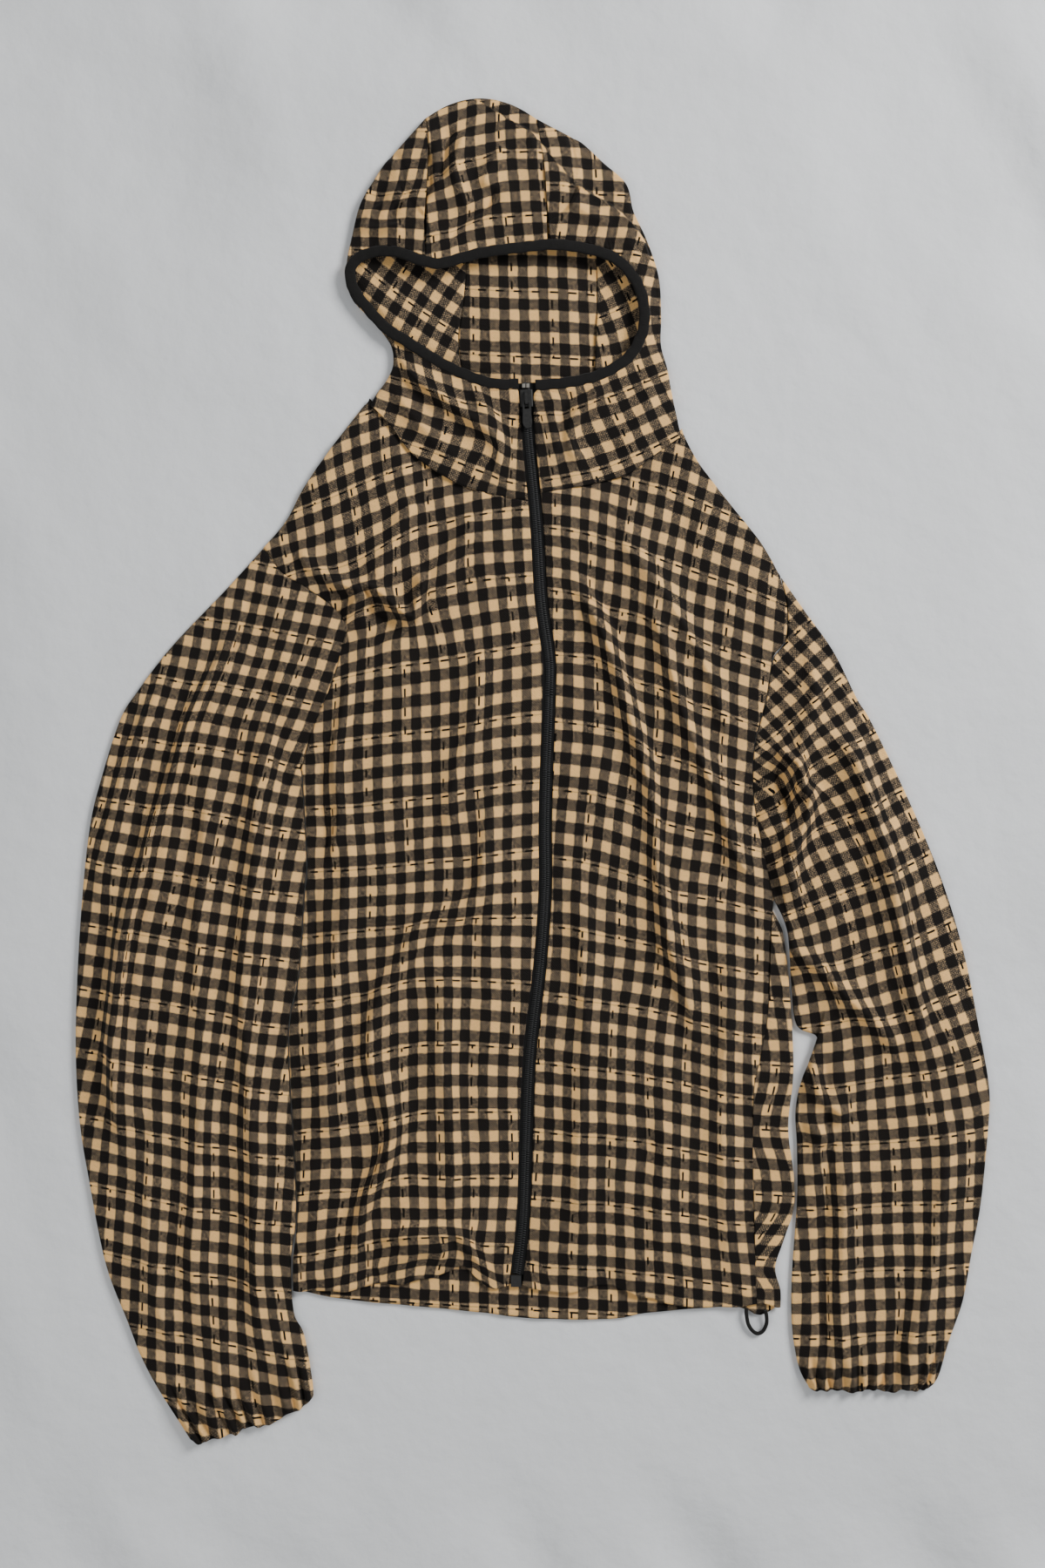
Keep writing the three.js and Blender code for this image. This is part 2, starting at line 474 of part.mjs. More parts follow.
// The edge from an armhole's top to the hem, with its points where the sleeve has its own.
function bodyEdge({ armhole, underarm, side }, sleevePoints) {
  const arm = armholeShares(armhole, sleevePoints);
  const rows = arm.length - 1 + SIDE_ROWS;
  const under = underarm ? UNDERARM_ROWS : 0;
  return (t) => {
    const row = Math.round(t * rows);
    const below = row - arm.length + 1;
    if (below <= 0) return armhole(arm[row]);
    return below <= under ? underarm(below / under) : side((below - under) / (SIDE_ROWS - under));
  };
}
const LEFT_EDGE = {
  armhole: beside(along(ARMHOLE_LEFT), SEAM_SIDE),
  underarm: beside(along(UNDERARM_LEFT), SEAM_SIDE),
  side: beside(along(SIDE_LEFT), SIDE_CLEAR),
};
const rightEdge = (seamSide) => ({
  armhole: beside(along(ARMHOLE_RIGHT), -SEAM_SIDE), side: beside(along(SIDE_SEAM_RIGHT), seamSide),
});
const FRONT_ROWS = SLEEVE_UPPER + 2 + SIDE_ROWS;
const BACK_ROWS = SLEEVE_LOWER + 2 + SIDE_ROWS;

// One front: from the zip's edge to the armhole and side seam, and from the neck to the hem.
function front({ inner, outer, top, hem }) {
  const uneven = (share) => mix(share, share * share, 0.25);
  const place = patch({ top, bottom: hem, left: (t) => inner(uneven(t)), right: outer });
  return gridOf(FRONT_ROWS, FRONT_COLS, (s, t) => {
    const { x, y } = place(s, t);
    const fromZip = ease((s - 0.06) / 0.24);
    const inside = ease((s - 0.02) / 0.18) * ease((1 - s) / 0.12) * ease((1 - t) / 0.05);
    const flat = mix(overTape(y), FRONT_REST, fromZip);
    const rise = inside * (FRONT_LOFT * ease(t / 0.08) + bodyFold(x, y));
    const wave = HEM_WAVE_HEIGHT * ease((t - 0.93) / 0.07) * Math.sin(s * HEM_WAVES * Math.PI * 2);
    const lowest = mix(overTape(y), FRONT_REST - 0.5, fromZip);
    return vec(x, y, Math.max(flat + rise + wave * fromZip, lowest));
  });
}

const gridOf = (rows, cols, point) => Array.from({ length: rows }, (_, i) => (
  Array.from({ length: cols }, (__, j) => point(j / (cols - 1), i / (rows - 1)))));

function leftFront() {
  return front({
    inner: beside(trimmed(zip, zipShare(NECK_LEFT[0].y), 1), -FRONT_EDGE),
    outer: bodyEdge(LEFT_EDGE, SLEEVE_UPPER),
    top: joined(
      { curve: beside(along(NECK_LEFT), SEAM_SIDE), portion: 0.62 },
      { curve: beside(along(SHOULDER_LEFT), SEAM_SIDE), portion: 0.38 }),
    hem: (share) => along(HEM_LEFT)(1 - share),
  });
}

function rightFront() {
  return front({
    inner: beside(trimmed(zip, zipShare(NECK_RIGHT[0].y), 1), FRONT_EDGE),
    outer: bodyEdge(rightEdge(-SEAM_SIDE), SLEEVE_UPPER),
    top: joined(
      { curve: beside(along(NECK_RIGHT), -SEAM_SIDE), portion: 0.6 },
      { curve: beside(along(SHOULDER_RIGHT), -SEAM_SIDE), portion: 0.4 }),
    hem: along(HEM_RIGHT),
  });
}

// The back lies flat; below the right armpit its edge curls round to the front, up to the seam.
function back() {
  const seam = bodyEdge(rightEdge(SEAM_SIDE), SLEEVE_LOWER);
  const foldLine = along(SIDE_FOLD_RIGHT);
  const armpit = (SLEEVE_LOWER + 1) / (BACK_ROWS - 1);
  const rowAt = (t) => {
    const curl = ease((t - armpit) / 0.06);
    const edge = seam(t);
    const turned = foldLine(Math.max((t - armpit) / (1 - armpit), 0));
    const wrap = Math.max(turned.x - edge.x, 0);
    const flat = BACK_STRIP.map((inset) => vec(edge.x - inset, edge.y, FLOOR_MID));
    const folded = [
      vec(turned.x - TURN, turned.y, FLOOR_MID), vec(turned.x, turned.y, (FLOOR_MID + FRONT_REST) / 2),
      vec(turned.x - Math.min(TURN, wrap * 0.4), turned.y, FRONT_REST),
      vec(mix(turned.x, edge.x, 0.7), edge.y, FRONT_REST), vec(edge.x, edge.y, FRONT_REST)];
    return flat.map((point, i) => point.lerp(folded[i], curl));
  };
  const place = patch({
    top: joined(
      { curve: (share) => beside(along(SHOULDER_LEFT), SEAM_SIDE)(1 - share), portion: 0.3 },
      { curve: beside(along(NAPE), -SEAM_SIDE), portion: 0.42 },
      { curve: trimmed(beside(along(SHOULDER_RIGHT), -SEAM_SIDE), 0, 0.965), portion: 0.28 }),
    bottom: trimmed(along(HEM_BACK), 0, 0.992),
    left: bodyEdge(LEFT_EDGE, SLEEVE_LOWER),
    right: (t) => rowAt(t)[0],
  });
  return Array.from({ length: BACK_ROWS }, (_, i) => {
    const t = i / (BACK_ROWS - 1);
    const flat = Array.from({ length: BACK_COLS }, (__, j) => {
      const { x, y } = place(j / BACK_COLS, t);
      return vec(x, y, FLOOR_MID);
    });
    return [...flat, ...rowAt(t)];
  });
}

// A sleeve is a flattened tube: the upper layer from its outer to its inner edge, the turn,
// the lower layer back on the surface, and the other turn.
function sleeve({ armhole, cuff, outer, inner, folds }) {
  const place = patch({ top: armhole, bottom: cuff, left: outer, right: inner });
  const height = foldHeight(folds);
  return Array.from({ length: SLEEVE_ROWS }, (_, i) => {
    const t = i / (SLEEVE_ROWS - 1);
    const [from, to] = [place(0, t), place(1, t)];
    const inset = TURN / Math.hypot(to.x - from.x, to.y - from.y);
    const upper = Array.from({ length: SLEEVE_UPPER }, (__, j) => {
      const f = j / (SLEEVE_UPPER - 1);
      const { x, y } = place(mix(inset, 1 - inset, f), t);
      const inside = ease(f / 0.16) * ease((1 - f) / 0.16) * ease(t / 0.06) * ease((1 - t) / 0.04);
      const wave = CUFF_WAVE_HEIGHT * ease((t - 0.9) / 0.1) * Math.sin(f * CUFF_WAVES * Math.PI * 2);
      const rise = inside * (SLEEVE_LOFT + height(x, y)) + wave;
      return vec(x, y, Math.max(SLEEVE_REST + rise, SECOND_MID));
    });
    const lower = Array.from({ length: SLEEVE_LOWER }, (__, j) => {
      const { x, y } = place(mix(1 - inset, inset, j / (SLEEVE_LOWER - 1)), t);
      return vec(x, y, FLOOR_MID);
    });
    const inward = WALL / 2 / TURN;
    const turnAt = (edge, above) => vec(
      mix(edge.x, above.x, inward), mix(edge.y, above.y, inward), (above.z + FLOOR_MID) / 2);
    return [...upper, turnAt(to, upper[SLEEVE_UPPER - 1]), ...lower, turnAt(from, upper[0])];
  });
}

const UNDERARM_SHARE = UNDERARM_ROWS / (SLEEVE_ROWS - 1);
const leftSleeve = () => sleeve({
  armhole: beside(along(ARMHOLE_LEFT), -SLEEVE_SIDE),
  cuff: along(CUFF_LEFT),
  outer: along(SLEEVE_LEFT_OUTER),
  inner: joined(
    { curve: beside(along(UNDERARM_LEFT), -SLEEVE_SIDE), portion: UNDERARM_SHARE },
    { curve: beside(along(SLEEVE_LEFT_INNER), -SLEEVE_SIDE), portion: 1 - UNDERARM_SHARE }),
  folds: SLEEVE_LEFT_FOLDS,
});
const rightSleeve = () => sleeve({
  armhole: beside(along(ARMHOLE_RIGHT), SLEEVE_SIDE),
  cuff: along(CUFF_RIGHT),
  outer: along(SLEEVE_RIGHT_OUTER),
  inner: beside(along(SLEEVE_RIGHT_INNER), SLEEVE_SIDE),
  folds: SLEEVE_RIGHT_FOLDS,
});

// The upper layer's step on the right of the hood: raised inside the line, low beyond it.
const stepLine = Array.from({ length: FOLD_STEPS + 1 }, (_, i) => along(HOOD_STEP)(i / FOLD_STEPS));
function stepHeight(x, y) {
  let nearest = { distance: Infinity };
  for (let i = 0; i < FOLD_STEPS; i += 1) {
    const [a, b] = [stepLine[i], stepLine[i + 1]];
    const [dx, dy] = [b.x - a.x, b.y - a.y];
    const f = Math.min(Math.max(((x - a.x) * dx + (y - a.y) * dy) / (dx * dx + dy * dy), 0), 1);
    const distance = Math.hypot(x - a.x - f * dx, y - a.y - f * dy);
    if (distance < nearest.distance) {
      nearest = { distance, outside: dx * (y - a.y) - dy * (x - a.x) > 0, share: (i + f) / FOLD_STEPS };
    }
  }
  const fade = ease(nearest.share / 0.2) * ease((1 - nearest.share) / 0.15);
  const shape = nearest.outside ? 1 - ease(nearest.distance / STEP_WIDTH) : Math.exp(-nearest.distance / 20);
  return STEP_LIFT * fade * shape;
}

const bindingKeys = Object.keys(BINDING_LINE[0]);
const bindingAt = (station) => atStation(BINDING_LINE, bindingKeys, station);
const bindingStations = (share) => bindingAt(share * (BINDING_LINE.length - 1));

// A point of the hood's face edge: beside the binding, or tucked under it where the face
// opening reaches the side fold; or the edge beside the zip, where zipY is given.
function faceEdge({ rim, tuck, zipY }, side) {
  if (zipY) {
    const at = beside(zip, side * FRONT_EDGE)(zipShare(zipY));
    return { rimX: at.x, rimY: zipY, rimZ: overTape(zipY) + 0.1 };
  }
  const distance = mix(RIM, TUCKED, ease((tuck - 0.5) * 2));
  const at = beside(bindingStations, distance)(rim / (BINDING_LINE.length - 1));
  return { rimX: at.x, rimY: at.y, rimZ: at.z - (2 * BINDING_THICK_HALF + GAP) * ease(tuck * 2) };
}

function hoodSide({ rows, side, neck }) {
  const placed = rows.map((row) => ({ ...row, zipY: 0, ...faceEdge(row, side) }));
  const keys = Object.keys(placed[0]);
  const seamKeys = Object.keys(HOOD_SEAMS[0]);
  const neckLine = along(neck);
  const [neckStart, neckEnd] = [neckLine(0), neckLine(1)];
  return Array.from({ length: HOOD_ROWS }, (_, i) => {
    const row = atStation(placed, keys, (i / (HOOD_ROWS - 1)) * (rows.length - 1));
    const seam = atStation(HOOD_SEAMS, seamKeys, row.seam);
    const rim = vec(row.rimX, row.rimY, row.rimZ);
    const [seamX, seamY] = side < 0 ? [seam.leftX, seam.leftY] : [seam.rightX, seam.rightY];
    const end = vec(seamX + side * HOOD_SEAM_SIDE, seamY, Math.max(seam.z, FLOOR_MID));
    const turned = vec(row.foldX, row.foldY, Math.max((row.foldTop + row.foldLow) / 2, FLOOR_MID));
    const towards = (goal, z) => {
      const run = Math.hypot(goal.x - turned.x, goal.y - turned.y);
      const share = Math.min(TURN, run * 0.4) / run;
      return vec(mix(turned.x, goal.x, share), mix(turned.y, goal.y, share), z);
    };
    const above = towards(rim, row.foldTop);
    const below = towards(end, Math.max(row.foldLow, FLOOR_MID));
    const upper = Array.from({ length: HOOD_UPPER }, (__, j) => {
      const f = j / (HOOD_UPPER - 1);
      const point = rim.clone().lerp(above, f);
      const sewn = neckLine(f);
      point.x += row.neck * (sewn.x - mix(neckStart.x, neckEnd.x, f));
      point.y += row.neck * (sewn.y - mix(neckStart.y, neckEnd.y, f));
      const inside = ease(f / 0.3) * ease((1 - f) / 0.2);
      const step = side > 0 ? stepHeight(point.x, point.y) : 0;
      point.z += inside * (hoodFold(point.x, point.y) + step);
      return point;
    });
    const lower = Array.from({ length: HOOD_LOWER }, (__, j) => {
      const point = below.clone().lerp(end, j / (HOOD_LOWER - 1));
      return point.setZ(Math.max(point.z, FLOOR_MID));
    });
    return [...upper, turned, ...lower];
  });
}

// The strip over the crown: its first edge follows the binding, its last the nape.
function hoodCentre() {
  const keys = Object.keys(HOOD_SEAMS[0]);
  const forehead = (x) => {
    let [low, high] = FOREHEAD_STATIONS;
    for (let i = 0; i < HALVINGS; i += 1) {
      const middle = (low + high) / 2;
      if (bindingAt(middle).x < x) low = middle;
      else high = middle;
    }
    return bindingAt(low).y + RIM;
  };
  return gridOf(CENTRE_ROWS, CENTRE_COLS, (s, t) => {
    const station = t * (HOOD_SEAMS.length - 1);
    const seam = atStation(HOOD_SEAMS, keys, station);
    const x = mix(seam.leftX + HOOD_SEAM_SIDE, seam.rightX - HOOD_SEAM_SIDE, s);
    const y = mix(seam.leftY, seam.rightY, s) + seam.bow * 4 * s * (1 - s);
    const first = forehead(x) - mix(HOOD_SEAMS[0].leftY, HOOD_SEAMS[0].rightY, s)
      - HOOD_SEAMS[0].bow * 4 * s * (1 - s);
    const upper = ease(station / 1.5) * ease((6 - station) / 2.5);
    const z = seam.z + upper * (hoodFold(x, y) + stepHeight(x, y) * ease((1 - s) / 0.1));
    return vec(x, y + first * (1 - ease(station / 1.6)), Math.max(z, FLOOR_MID));
  });
}

const cloth = (colour, roughness = 0.9) => new THREE.MeshStandardMaterial({ color: colour, roughness });
const metal = (colour) => new THREE.MeshStandardMaterial({ color: colour, roughness: 0.35, metalness: 0.8 });

const jacket = new THREE.Group();
jacket.position.set(-PLAN_CENTRE.x, -PLAN_CENTRE.y, 0);

function add(name, geometry, material) {
  const mesh = new THREE.Mesh(geometry, material);
  mesh.name = name;
  jacket.add(mesh);
  return mesh;
}

const panels = {
  back: back(), front_left: leftFront(), front_right: rightFront(),
  hood_left: hoodSide({ rows: HOOD_LEFT_ROWS, side: -1, neck: NECK_LEFT }),
  hood_right: hoodSide({ rows: HOOD_RIGHT_ROWS, side: 1, neck: NECK_RIGHT }),
  hood_centre: hoodCentre(),
};
for (const [name, grid] of Object.entries(panels)) add(name, wallFromGrid(grid), cloth(CHECK));
add('sleeve_left', wallFromGrid(leftSleeve(), true), cloth(CHECK));
add('sleeve_right', wallFromGrid(rightSleeve(), true), cloth(CHECK));

// The binding: a flat folded tape of oval section round the face opening
const oval = Array.from({ length: 8 }, (_, i) => {
  const angle = ((i + 0.5) / 8) * Math.PI * 2;
  return [BINDING_HALF * Math.cos(angle) / Math.cos(Math.PI / 8) * 0.96,
    BINDING_THICK_HALF * Math.sin(angle) / Math.sin(Math.PI * 3 / 8)];
});
add('face_binding', sweep(bindingStations, BINDING_STEPS, oval), cloth(BLACK));

// Zip: tape and half of the coil on each side of the middle line
const zipSection = (side) => [
  [CHAIN_SPLIT, 0], [TAPE_WIDTH, 0], [TAPE_WIDTH, TAPE_THICK], [CHAIN_HALF, TAPE_THICK],
  [CHAIN_HALF - 0.4, CHAIN_HEIGHT], [CHAIN_SPLIT, CHAIN_HEIGHT],
].map(([across, up]) => [side * across, up]);
const zipRun = trimmed(zip, 0, zipShare(PIN_BOX.y + PIN_BOX.length / 2 + 3 * GAP));
add('zip_tape_left', sweep(zipRun, ZIP_STEPS, zipSection(1)), cloth(BLACK));
add('zip_tape_right', sweep(zipRun, ZIP_STEPS, zipSection(-1)), cloth(BLACK));

// An outline in X and Z, or in X and Y, raised to a solid; both are turned by their mesh.
const extruded = (outline, depth, holes = []) => {
  const shape = new THREE.Shape(outline.map(([u, v]) => new THREE.Vector2(u, v)));
  for (const hole of holes) {
    shape.holes.push(new THREE.Path(hole.map(([u, v]) => new THREE.Vector2(u, v))));
  }
  return new THREE.ExtrudeGeometry(shape, { depth, bevelEnabled: false, curveSegments: 6 });
};
const sliderAt = zip(zipShare(SLIDER.y));
const chainTop = sliderAt.z + CHAIN_HEIGHT;
const plateTop = chainTop + GAP + SLIDER.thick;
const zipLean = Math.atan2(zip(0).x - sliderAt.x, zip(0).y - sliderAt.y);

// The slider: a plate over the coil with a flange down each side, and an arch for the pull
const sliderGroup = new THREE.Group();
sliderGroup.position.set(sliderAt.x, SLIDER.y, 0);
sliderGroup.rotation.z = -zipLean;
jacket.add(sliderGroup);
const half = SLIDER.width / 2;
const flange = sliderAt.z + TAPE_THICK + GAP;
const sliderOutline = [[-half, flange], [-CHAIN_HALF - GAP, flange], [-CHAIN_HALF - GAP, chainTop + GAP],
  [CHAIN_HALF + GAP, chainTop + GAP], [CHAIN_HALF + GAP, flange], [half, flange],
  [half, plateTop - 0.6], [half - 0.8, plateTop], [-half + 0.8, plateTop], [-half, plateTop - 0.6]];
const sliderBody = new THREE.Mesh(extruded(sliderOutline, SLIDER.length), metal(BLACK));
sliderBody.name = 'zip_slider';
sliderBody.rotation.x = Math.PI / 2;
sliderBody.position.y = SLIDER.length / 2;
sliderGroup.add(sliderBody);

const [seat, under, inFoot] = [plateTop + 0.001, plateTop + CROWN.clear, CROWN.reach - CROWN.thick];
const arch = new THREE.Mesh(extruded([
  [-CROWN.reach, seat], [-inFoot, seat], [-inFoot, under], [inFoot, under], [inFoot, seat],
  [CROWN.reach, seat], [CROWN.reach - 0.2, under + 0.6], [CROWN.reach - 1.2, under + CROWN.thick],
  [-CROWN.reach + 1.2, under + CROWN.thick], [-CROWN.reach + 0.2, under + 0.6],
], CROWN.width), metal(BLACK));
arch.name = 'zip_crown';
arch.rotation.set(Math.PI / 2, 0, Math.PI / 2, 'ZXY');
arch.position.x = -CROWN.width / 2;
sliderGroup.add(arch);

// The pull: a tab whose bar passes under the arch, lying down the zip
const pullLevel = plateTop + CROWN.clear / 2;
const pullHalf = PULL.width / 2;
const top = PULL.bar;
const pullOutline = [[-pullHalf + 0.8, top], [pullHalf - 0.8, top], [pullHalf - 0.3, top - 3],
  [pullHalf - 0.6, top - 8], [pullHalf, top - PULL.length + 5], [pullHalf - 0.6, top - PULL.length + 2],
  [pullHalf - 2.2, top - PULL.length], [-pullHalf + 2.2, top - PULL.length],
  [-pullHalf + 0.6, top - PULL.length + 2], [-pullHalf, top - PULL.length + 5],
  [-pullHalf + 0.6, top - 8], [-pullHalf + 0.3, top - 3]];
const eye = [[-PULL.eye, top - 6.4], [PULL.eye, top - 6.4], [PULL.eye, top - 2 * PULL.bar],
  [-PULL.eye, top - 2 * PULL.bar]];
const pull = new THREE.Mesh(extruded(pullOutline, PULL.thick, [eye]), metal(BLACK));
pull.name = 'zip_pull';
pull.position.set(0, -inFoot + GAP + 0.2 + PULL.bar, pullLevel - PULL.thick / 2);
sliderGroup.add(pull);

for (const [name, side] of [['zip_stop_left', -1], ['zip_stop_right', 1]]) {
  const stop = add(name, new THREE.BoxGeometry(STOP.width, STOP.length, STOP.thick), metal(METAL));
  const at = zip(zipShare(STOP.y));
  stop.position.set(at.x + side * STOP.offset, STOP.y, at.z + CHAIN_HEIGHT + GAP + STOP.thick / 2);
}

const pinAt = zip(zipShare(PIN_BOX.y));
const pinBlock = new THREE.BoxGeometry(PIN_BOX.width, PIN_BOX.length, PIN_BOX.thick);
const pinBox = add('zip_pin_box', pinBlock, metal(BLACK));
pinBox.position.set(pinAt.x, PIN_BOX.y, pinAt.z + PIN_BOX.thick / 2);

// The elastic hem cord: a loop that leaves the hem, lies on the surface and goes back in
const cordShape = new THREE.Shape().absarc(0, 0, CORD_RADIUS, 0, Math.PI * 2);
const cordPath = new THREE.CatmullRomCurve3(CORD_LINE.map(({ x, y, z }) => vec(x, y, z)));
add('hem_cord', new THREE.ExtrudeGeometry(cordShape, {
  steps: 14, curveSegments: 4, extrudePath: cordPath,
}), cloth(BLACK));

export default jacket;
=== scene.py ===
"""Hooded zip jacket in checked crinkled cotton, laid flat with its front up.

Plan sizes are in millimetres, X across the jacket and Y from the hem towards the hood, and
become metres when a mesh is made.
"""

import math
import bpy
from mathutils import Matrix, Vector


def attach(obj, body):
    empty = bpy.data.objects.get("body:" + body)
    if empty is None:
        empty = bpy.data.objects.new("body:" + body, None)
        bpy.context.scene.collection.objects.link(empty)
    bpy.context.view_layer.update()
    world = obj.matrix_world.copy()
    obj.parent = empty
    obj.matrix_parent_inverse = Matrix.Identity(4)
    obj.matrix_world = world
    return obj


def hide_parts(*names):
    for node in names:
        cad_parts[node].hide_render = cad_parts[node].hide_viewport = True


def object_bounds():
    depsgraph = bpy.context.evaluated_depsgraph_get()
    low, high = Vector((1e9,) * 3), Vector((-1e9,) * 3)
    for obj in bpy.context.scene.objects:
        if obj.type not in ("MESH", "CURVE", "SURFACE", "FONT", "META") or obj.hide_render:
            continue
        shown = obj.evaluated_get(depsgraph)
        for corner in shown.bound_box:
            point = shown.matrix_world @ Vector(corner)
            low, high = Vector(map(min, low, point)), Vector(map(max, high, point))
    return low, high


bl_info = {
    "name": "Checked hooded jacket, laid flat",
    "version": (1, 0, 0),
    "blender": (4, 5, 0),
    "location": "3D View > Sidebar > Jacket",
    "description": "Makes the cloth, zip and trims of a hooded jacket on its frame",
    "category": "Object",
}

import bpy
import numpy as np
from mathutils import Vector

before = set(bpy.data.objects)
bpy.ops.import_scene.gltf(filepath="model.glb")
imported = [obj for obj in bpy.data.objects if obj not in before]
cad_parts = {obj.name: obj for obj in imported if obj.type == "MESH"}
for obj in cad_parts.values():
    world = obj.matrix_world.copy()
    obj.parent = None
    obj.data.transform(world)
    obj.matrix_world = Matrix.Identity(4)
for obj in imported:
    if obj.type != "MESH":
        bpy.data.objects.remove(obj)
CAD_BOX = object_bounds()

MM = 0.001
PLAN_CENTRE = np.array([-0.573, 1.5, 0.0])

# Cloth and layers, as in the solids
WALL = 1.3
GAP = 0.3
FLOOR_MID = WALL / 2
SECOND_MID = FLOOR_MID + WALL + GAP
TURN = 3
FRONT_REST = SECOND_MID + 0.6
SLEEVE_REST = SECOND_MID + 0.7
FRONT_LOFT = 2.6
SLEEVE_LOFT = 2.8

# Zip, binding and cord
TAPE_WIDTH = 13
TAPE_THICK = 0.7
CHAIN_HALF = 3
FRONT_EDGE = 5.2
PIN_Y = -392.5
BINDING_HALF = 4.2
BINDING_THICK_HALF = 1.3
RIM = BINDING_HALF + 1.2
TUCKED = 1.2
TAPE_SPLIT, CHAIN_RAISED = 0.15, 0.1
CORD_DIAMETER, CORD_SIDES = 3.0, 14
BAR_ROUND = 10

# How far the hood's cloth runs under the binding; waves along a hem and a cuff
OVERLAP = 1.6
HEM_WAVES, CUFF_GATHERS = 9, 19

# How deep and wide the cloth dips at seams, above the hem's casing, and at a front's edge and stitches
SEAM_DIP, SEAM_WIDTH = 0.3, 1.3
CASING_DIP, CASING_WIDTH = 0.5, 2.2
EDGE_DIP, EDGE_WIDTH = 0.5, 1.6
STITCH_DIP, STITCH_WIDTH, STITCH_FROM_EDGE = 0.5, 0.9, 3.4

# A turn of the coil: its reach across, width, height, lean and sag, and where its middle is
COIL_REACH, COIL_WIDTH, COIL_HEIGHT, COIL_LEAN, COIL_SAG = 3.3, 0.95, 0.85, 0.28, 0.5
COIL_ACROSS, COIL_UP = 1.25, 0.55

# Part of a curve over which its direction is taken
NEAR = 0.004

# Shares of the body's edges that lie along the armhole and the left underarm
FRONT_ARM, FRONT_UNDERARM = 17 / 33, 22 / 33
BACK_ARM, BACK_UNDERARM = 7 / 23, 12 / 23
BACK_ARMPIT = 7 / 23
SLEEVE_UNDERARM = 5 / 24
BACK_STRIP = (6, 4.5, 3, 1.5, 0)

# Rows and columns of points in a front and in the hood's centre panel
FRONT_GRID, HOOD_CENTRE_GRID = (300, 116), (290, 56)

# How far the fronts reach under the hood, the neck's part of their top, and about how long the panels are
NECK_UNDER = 1.6
NECK_PART = {-1: 0.62, 1: 0.6}
FRONT_LENGTH, CASING_UP = 640, 19
SLEEVE_LENGTH = 560
HOOD_ROUND, HOOD_REACH = 600, 90

# The step in the hood's upper layer, and the first rows of a hood side, whose weave runs on over the crown
STEP_LIFT, STEP_WIDTH, STEP_SHIFT = 5.0, 1.8, (5.0, 4.0)
CROWN_ROWS = 3.4

# Where the surface under the jacket may start to crease, and its grid
SHOULDER_TOP, HOOD_HALF = 270, 165
SURFACE_TOP, SURFACE_CELLS, SURFACE_REACH = -0.4, 260, 1500.0

# Each light's place and size in metres, and how bright the others are
MAIN_LIGHT = ((1.9, 1.4, 1.7), 1.1)
FILL_LIGHT = ((-1.6, -0.8, 2.2), 2.2)
FILL_SHARE = 0.25
SKY_COLOUR, SKY_STRENGTH = (0.95, 0.98, 1.0, 1), 0.33
LENS_MM, SENSOR_MM = 50, 36

# A number for each piece's uneven values
SEEDS = {
    "front_left": 20, "front_right": 40, "sleeve_left": 60, "sleeve_right": 80, "hood_left": 100,
    "hood_right": 120, "hood_centre": 140,
}


def line(*rows):
    """A plan line or table as one array."""
    return np.array(rows, float)


ZIP_LINE = line(
    (-6, 298, 6.6), (-4, 258, 6.0), (0, 218, 4.6), (3, 182, 3.8), (6, 131, 3.4), (12, 87, 3.2), (12, 57, 3.2),
    (10, 0, 3.0), (9, -44, 2.8), (9, -91, 2.8), (5, -149, 2.6), (-3, -220, 2.6), (-6, -292, 2.4),
    (-8, -346, 2.2), (-14, -397, 2.0))
NECK_LEFT = line((-4.3, 208), (-20, 209), (-54, 218), (-88, 239), (-107, 263), (-119, 276))
NECK_RIGHT = line((6, 213), (30, 216), (48, 219), (73, 225), (100, 243), (111, 250))
SHOULDER_LEFT = line((-126.5, 286), (-157, 247), (-177, 218), (-191, 192), (-208, 172))
SHOULDER_RIGHT = line((114.5, 262), (127, 237.5), (152, 205), (175, 176), (190, 150))
ARMHOLE_LEFT = line((-208, 172), (-195, 154), (-178, 143), (-162, 132), (-149, 121), (-143, 111))
UNDERARM_LEFT = line((-143, 111), (-147, 98), (-153, 75), (-163, 49), (-172, 27), (-179, 1))
ARMHOLE_RIGHT = line(
    (190, 150), (195, 128), (195, 105), (191, 96), (184, 86), (179, 56), (170, 20), (169, -13), (172, -38),
    (180, -75), (185, -98))
SIDE_LEFT = line(
    (-179, 1), (-175, -69), (-177, -97), (-181, -155), (-188, -190), (-189, -219), (-187, -257), (-183, -338),
    (-186, -375), (-186, -399))
SIDE_SEAM_RIGHT = line(
    (185, -98), (183, -131), (181, -184), (175, -220), (170, -245), (169, -292), (170, -337), (171, -382),
    (172, -410))
SIDE_FOLD_RIGHT = line(
    (187, -98), (193, -131), (197, -170), (200, -229), (196, -274), (200, -310), (200, -337), (193, -360),
    (186, -382), (190, -400), (190, -413))
HEM_LEFT = line(
    (-186, -399), (-156, -403), (-126, -399), (-95, -399), (-66, -392), (-54, -388), (-44, -398), (-30, -408),
    (-19, -405))
HEM_RIGHT = line(
    (-8, -403), (10, -405), (33, -405), (46, -400), (59, -399), (71, -403), (85, -409), (126, -413),
    (156, -412), (172, -410))
HEM_BACK = line(
    (-186, -410), (-146, -417), (-75, -422), (-35, -425), (-1, -428), (59, -427), (91, -421), (156, -415),
    (175, -421), (190, -413))
NAPE = line((-126, 277), (-90, 268), (-54, 262), (0, 255), (47, 250), (85, 248), (115, 252))
SLEEVE_LEFT_OUTER = line(
    (-208, 172), (-236, 141), (-278, 97), (-305, 62), (-319, 39), (-334, -8), (-342, -42), (-348, -97),
    (-352, -163), (-353, -219), (-350, -270), (-343, -314), (-330, -379), (-313, -424), (-302, -452),
    (-288, -478), (-265, -513))
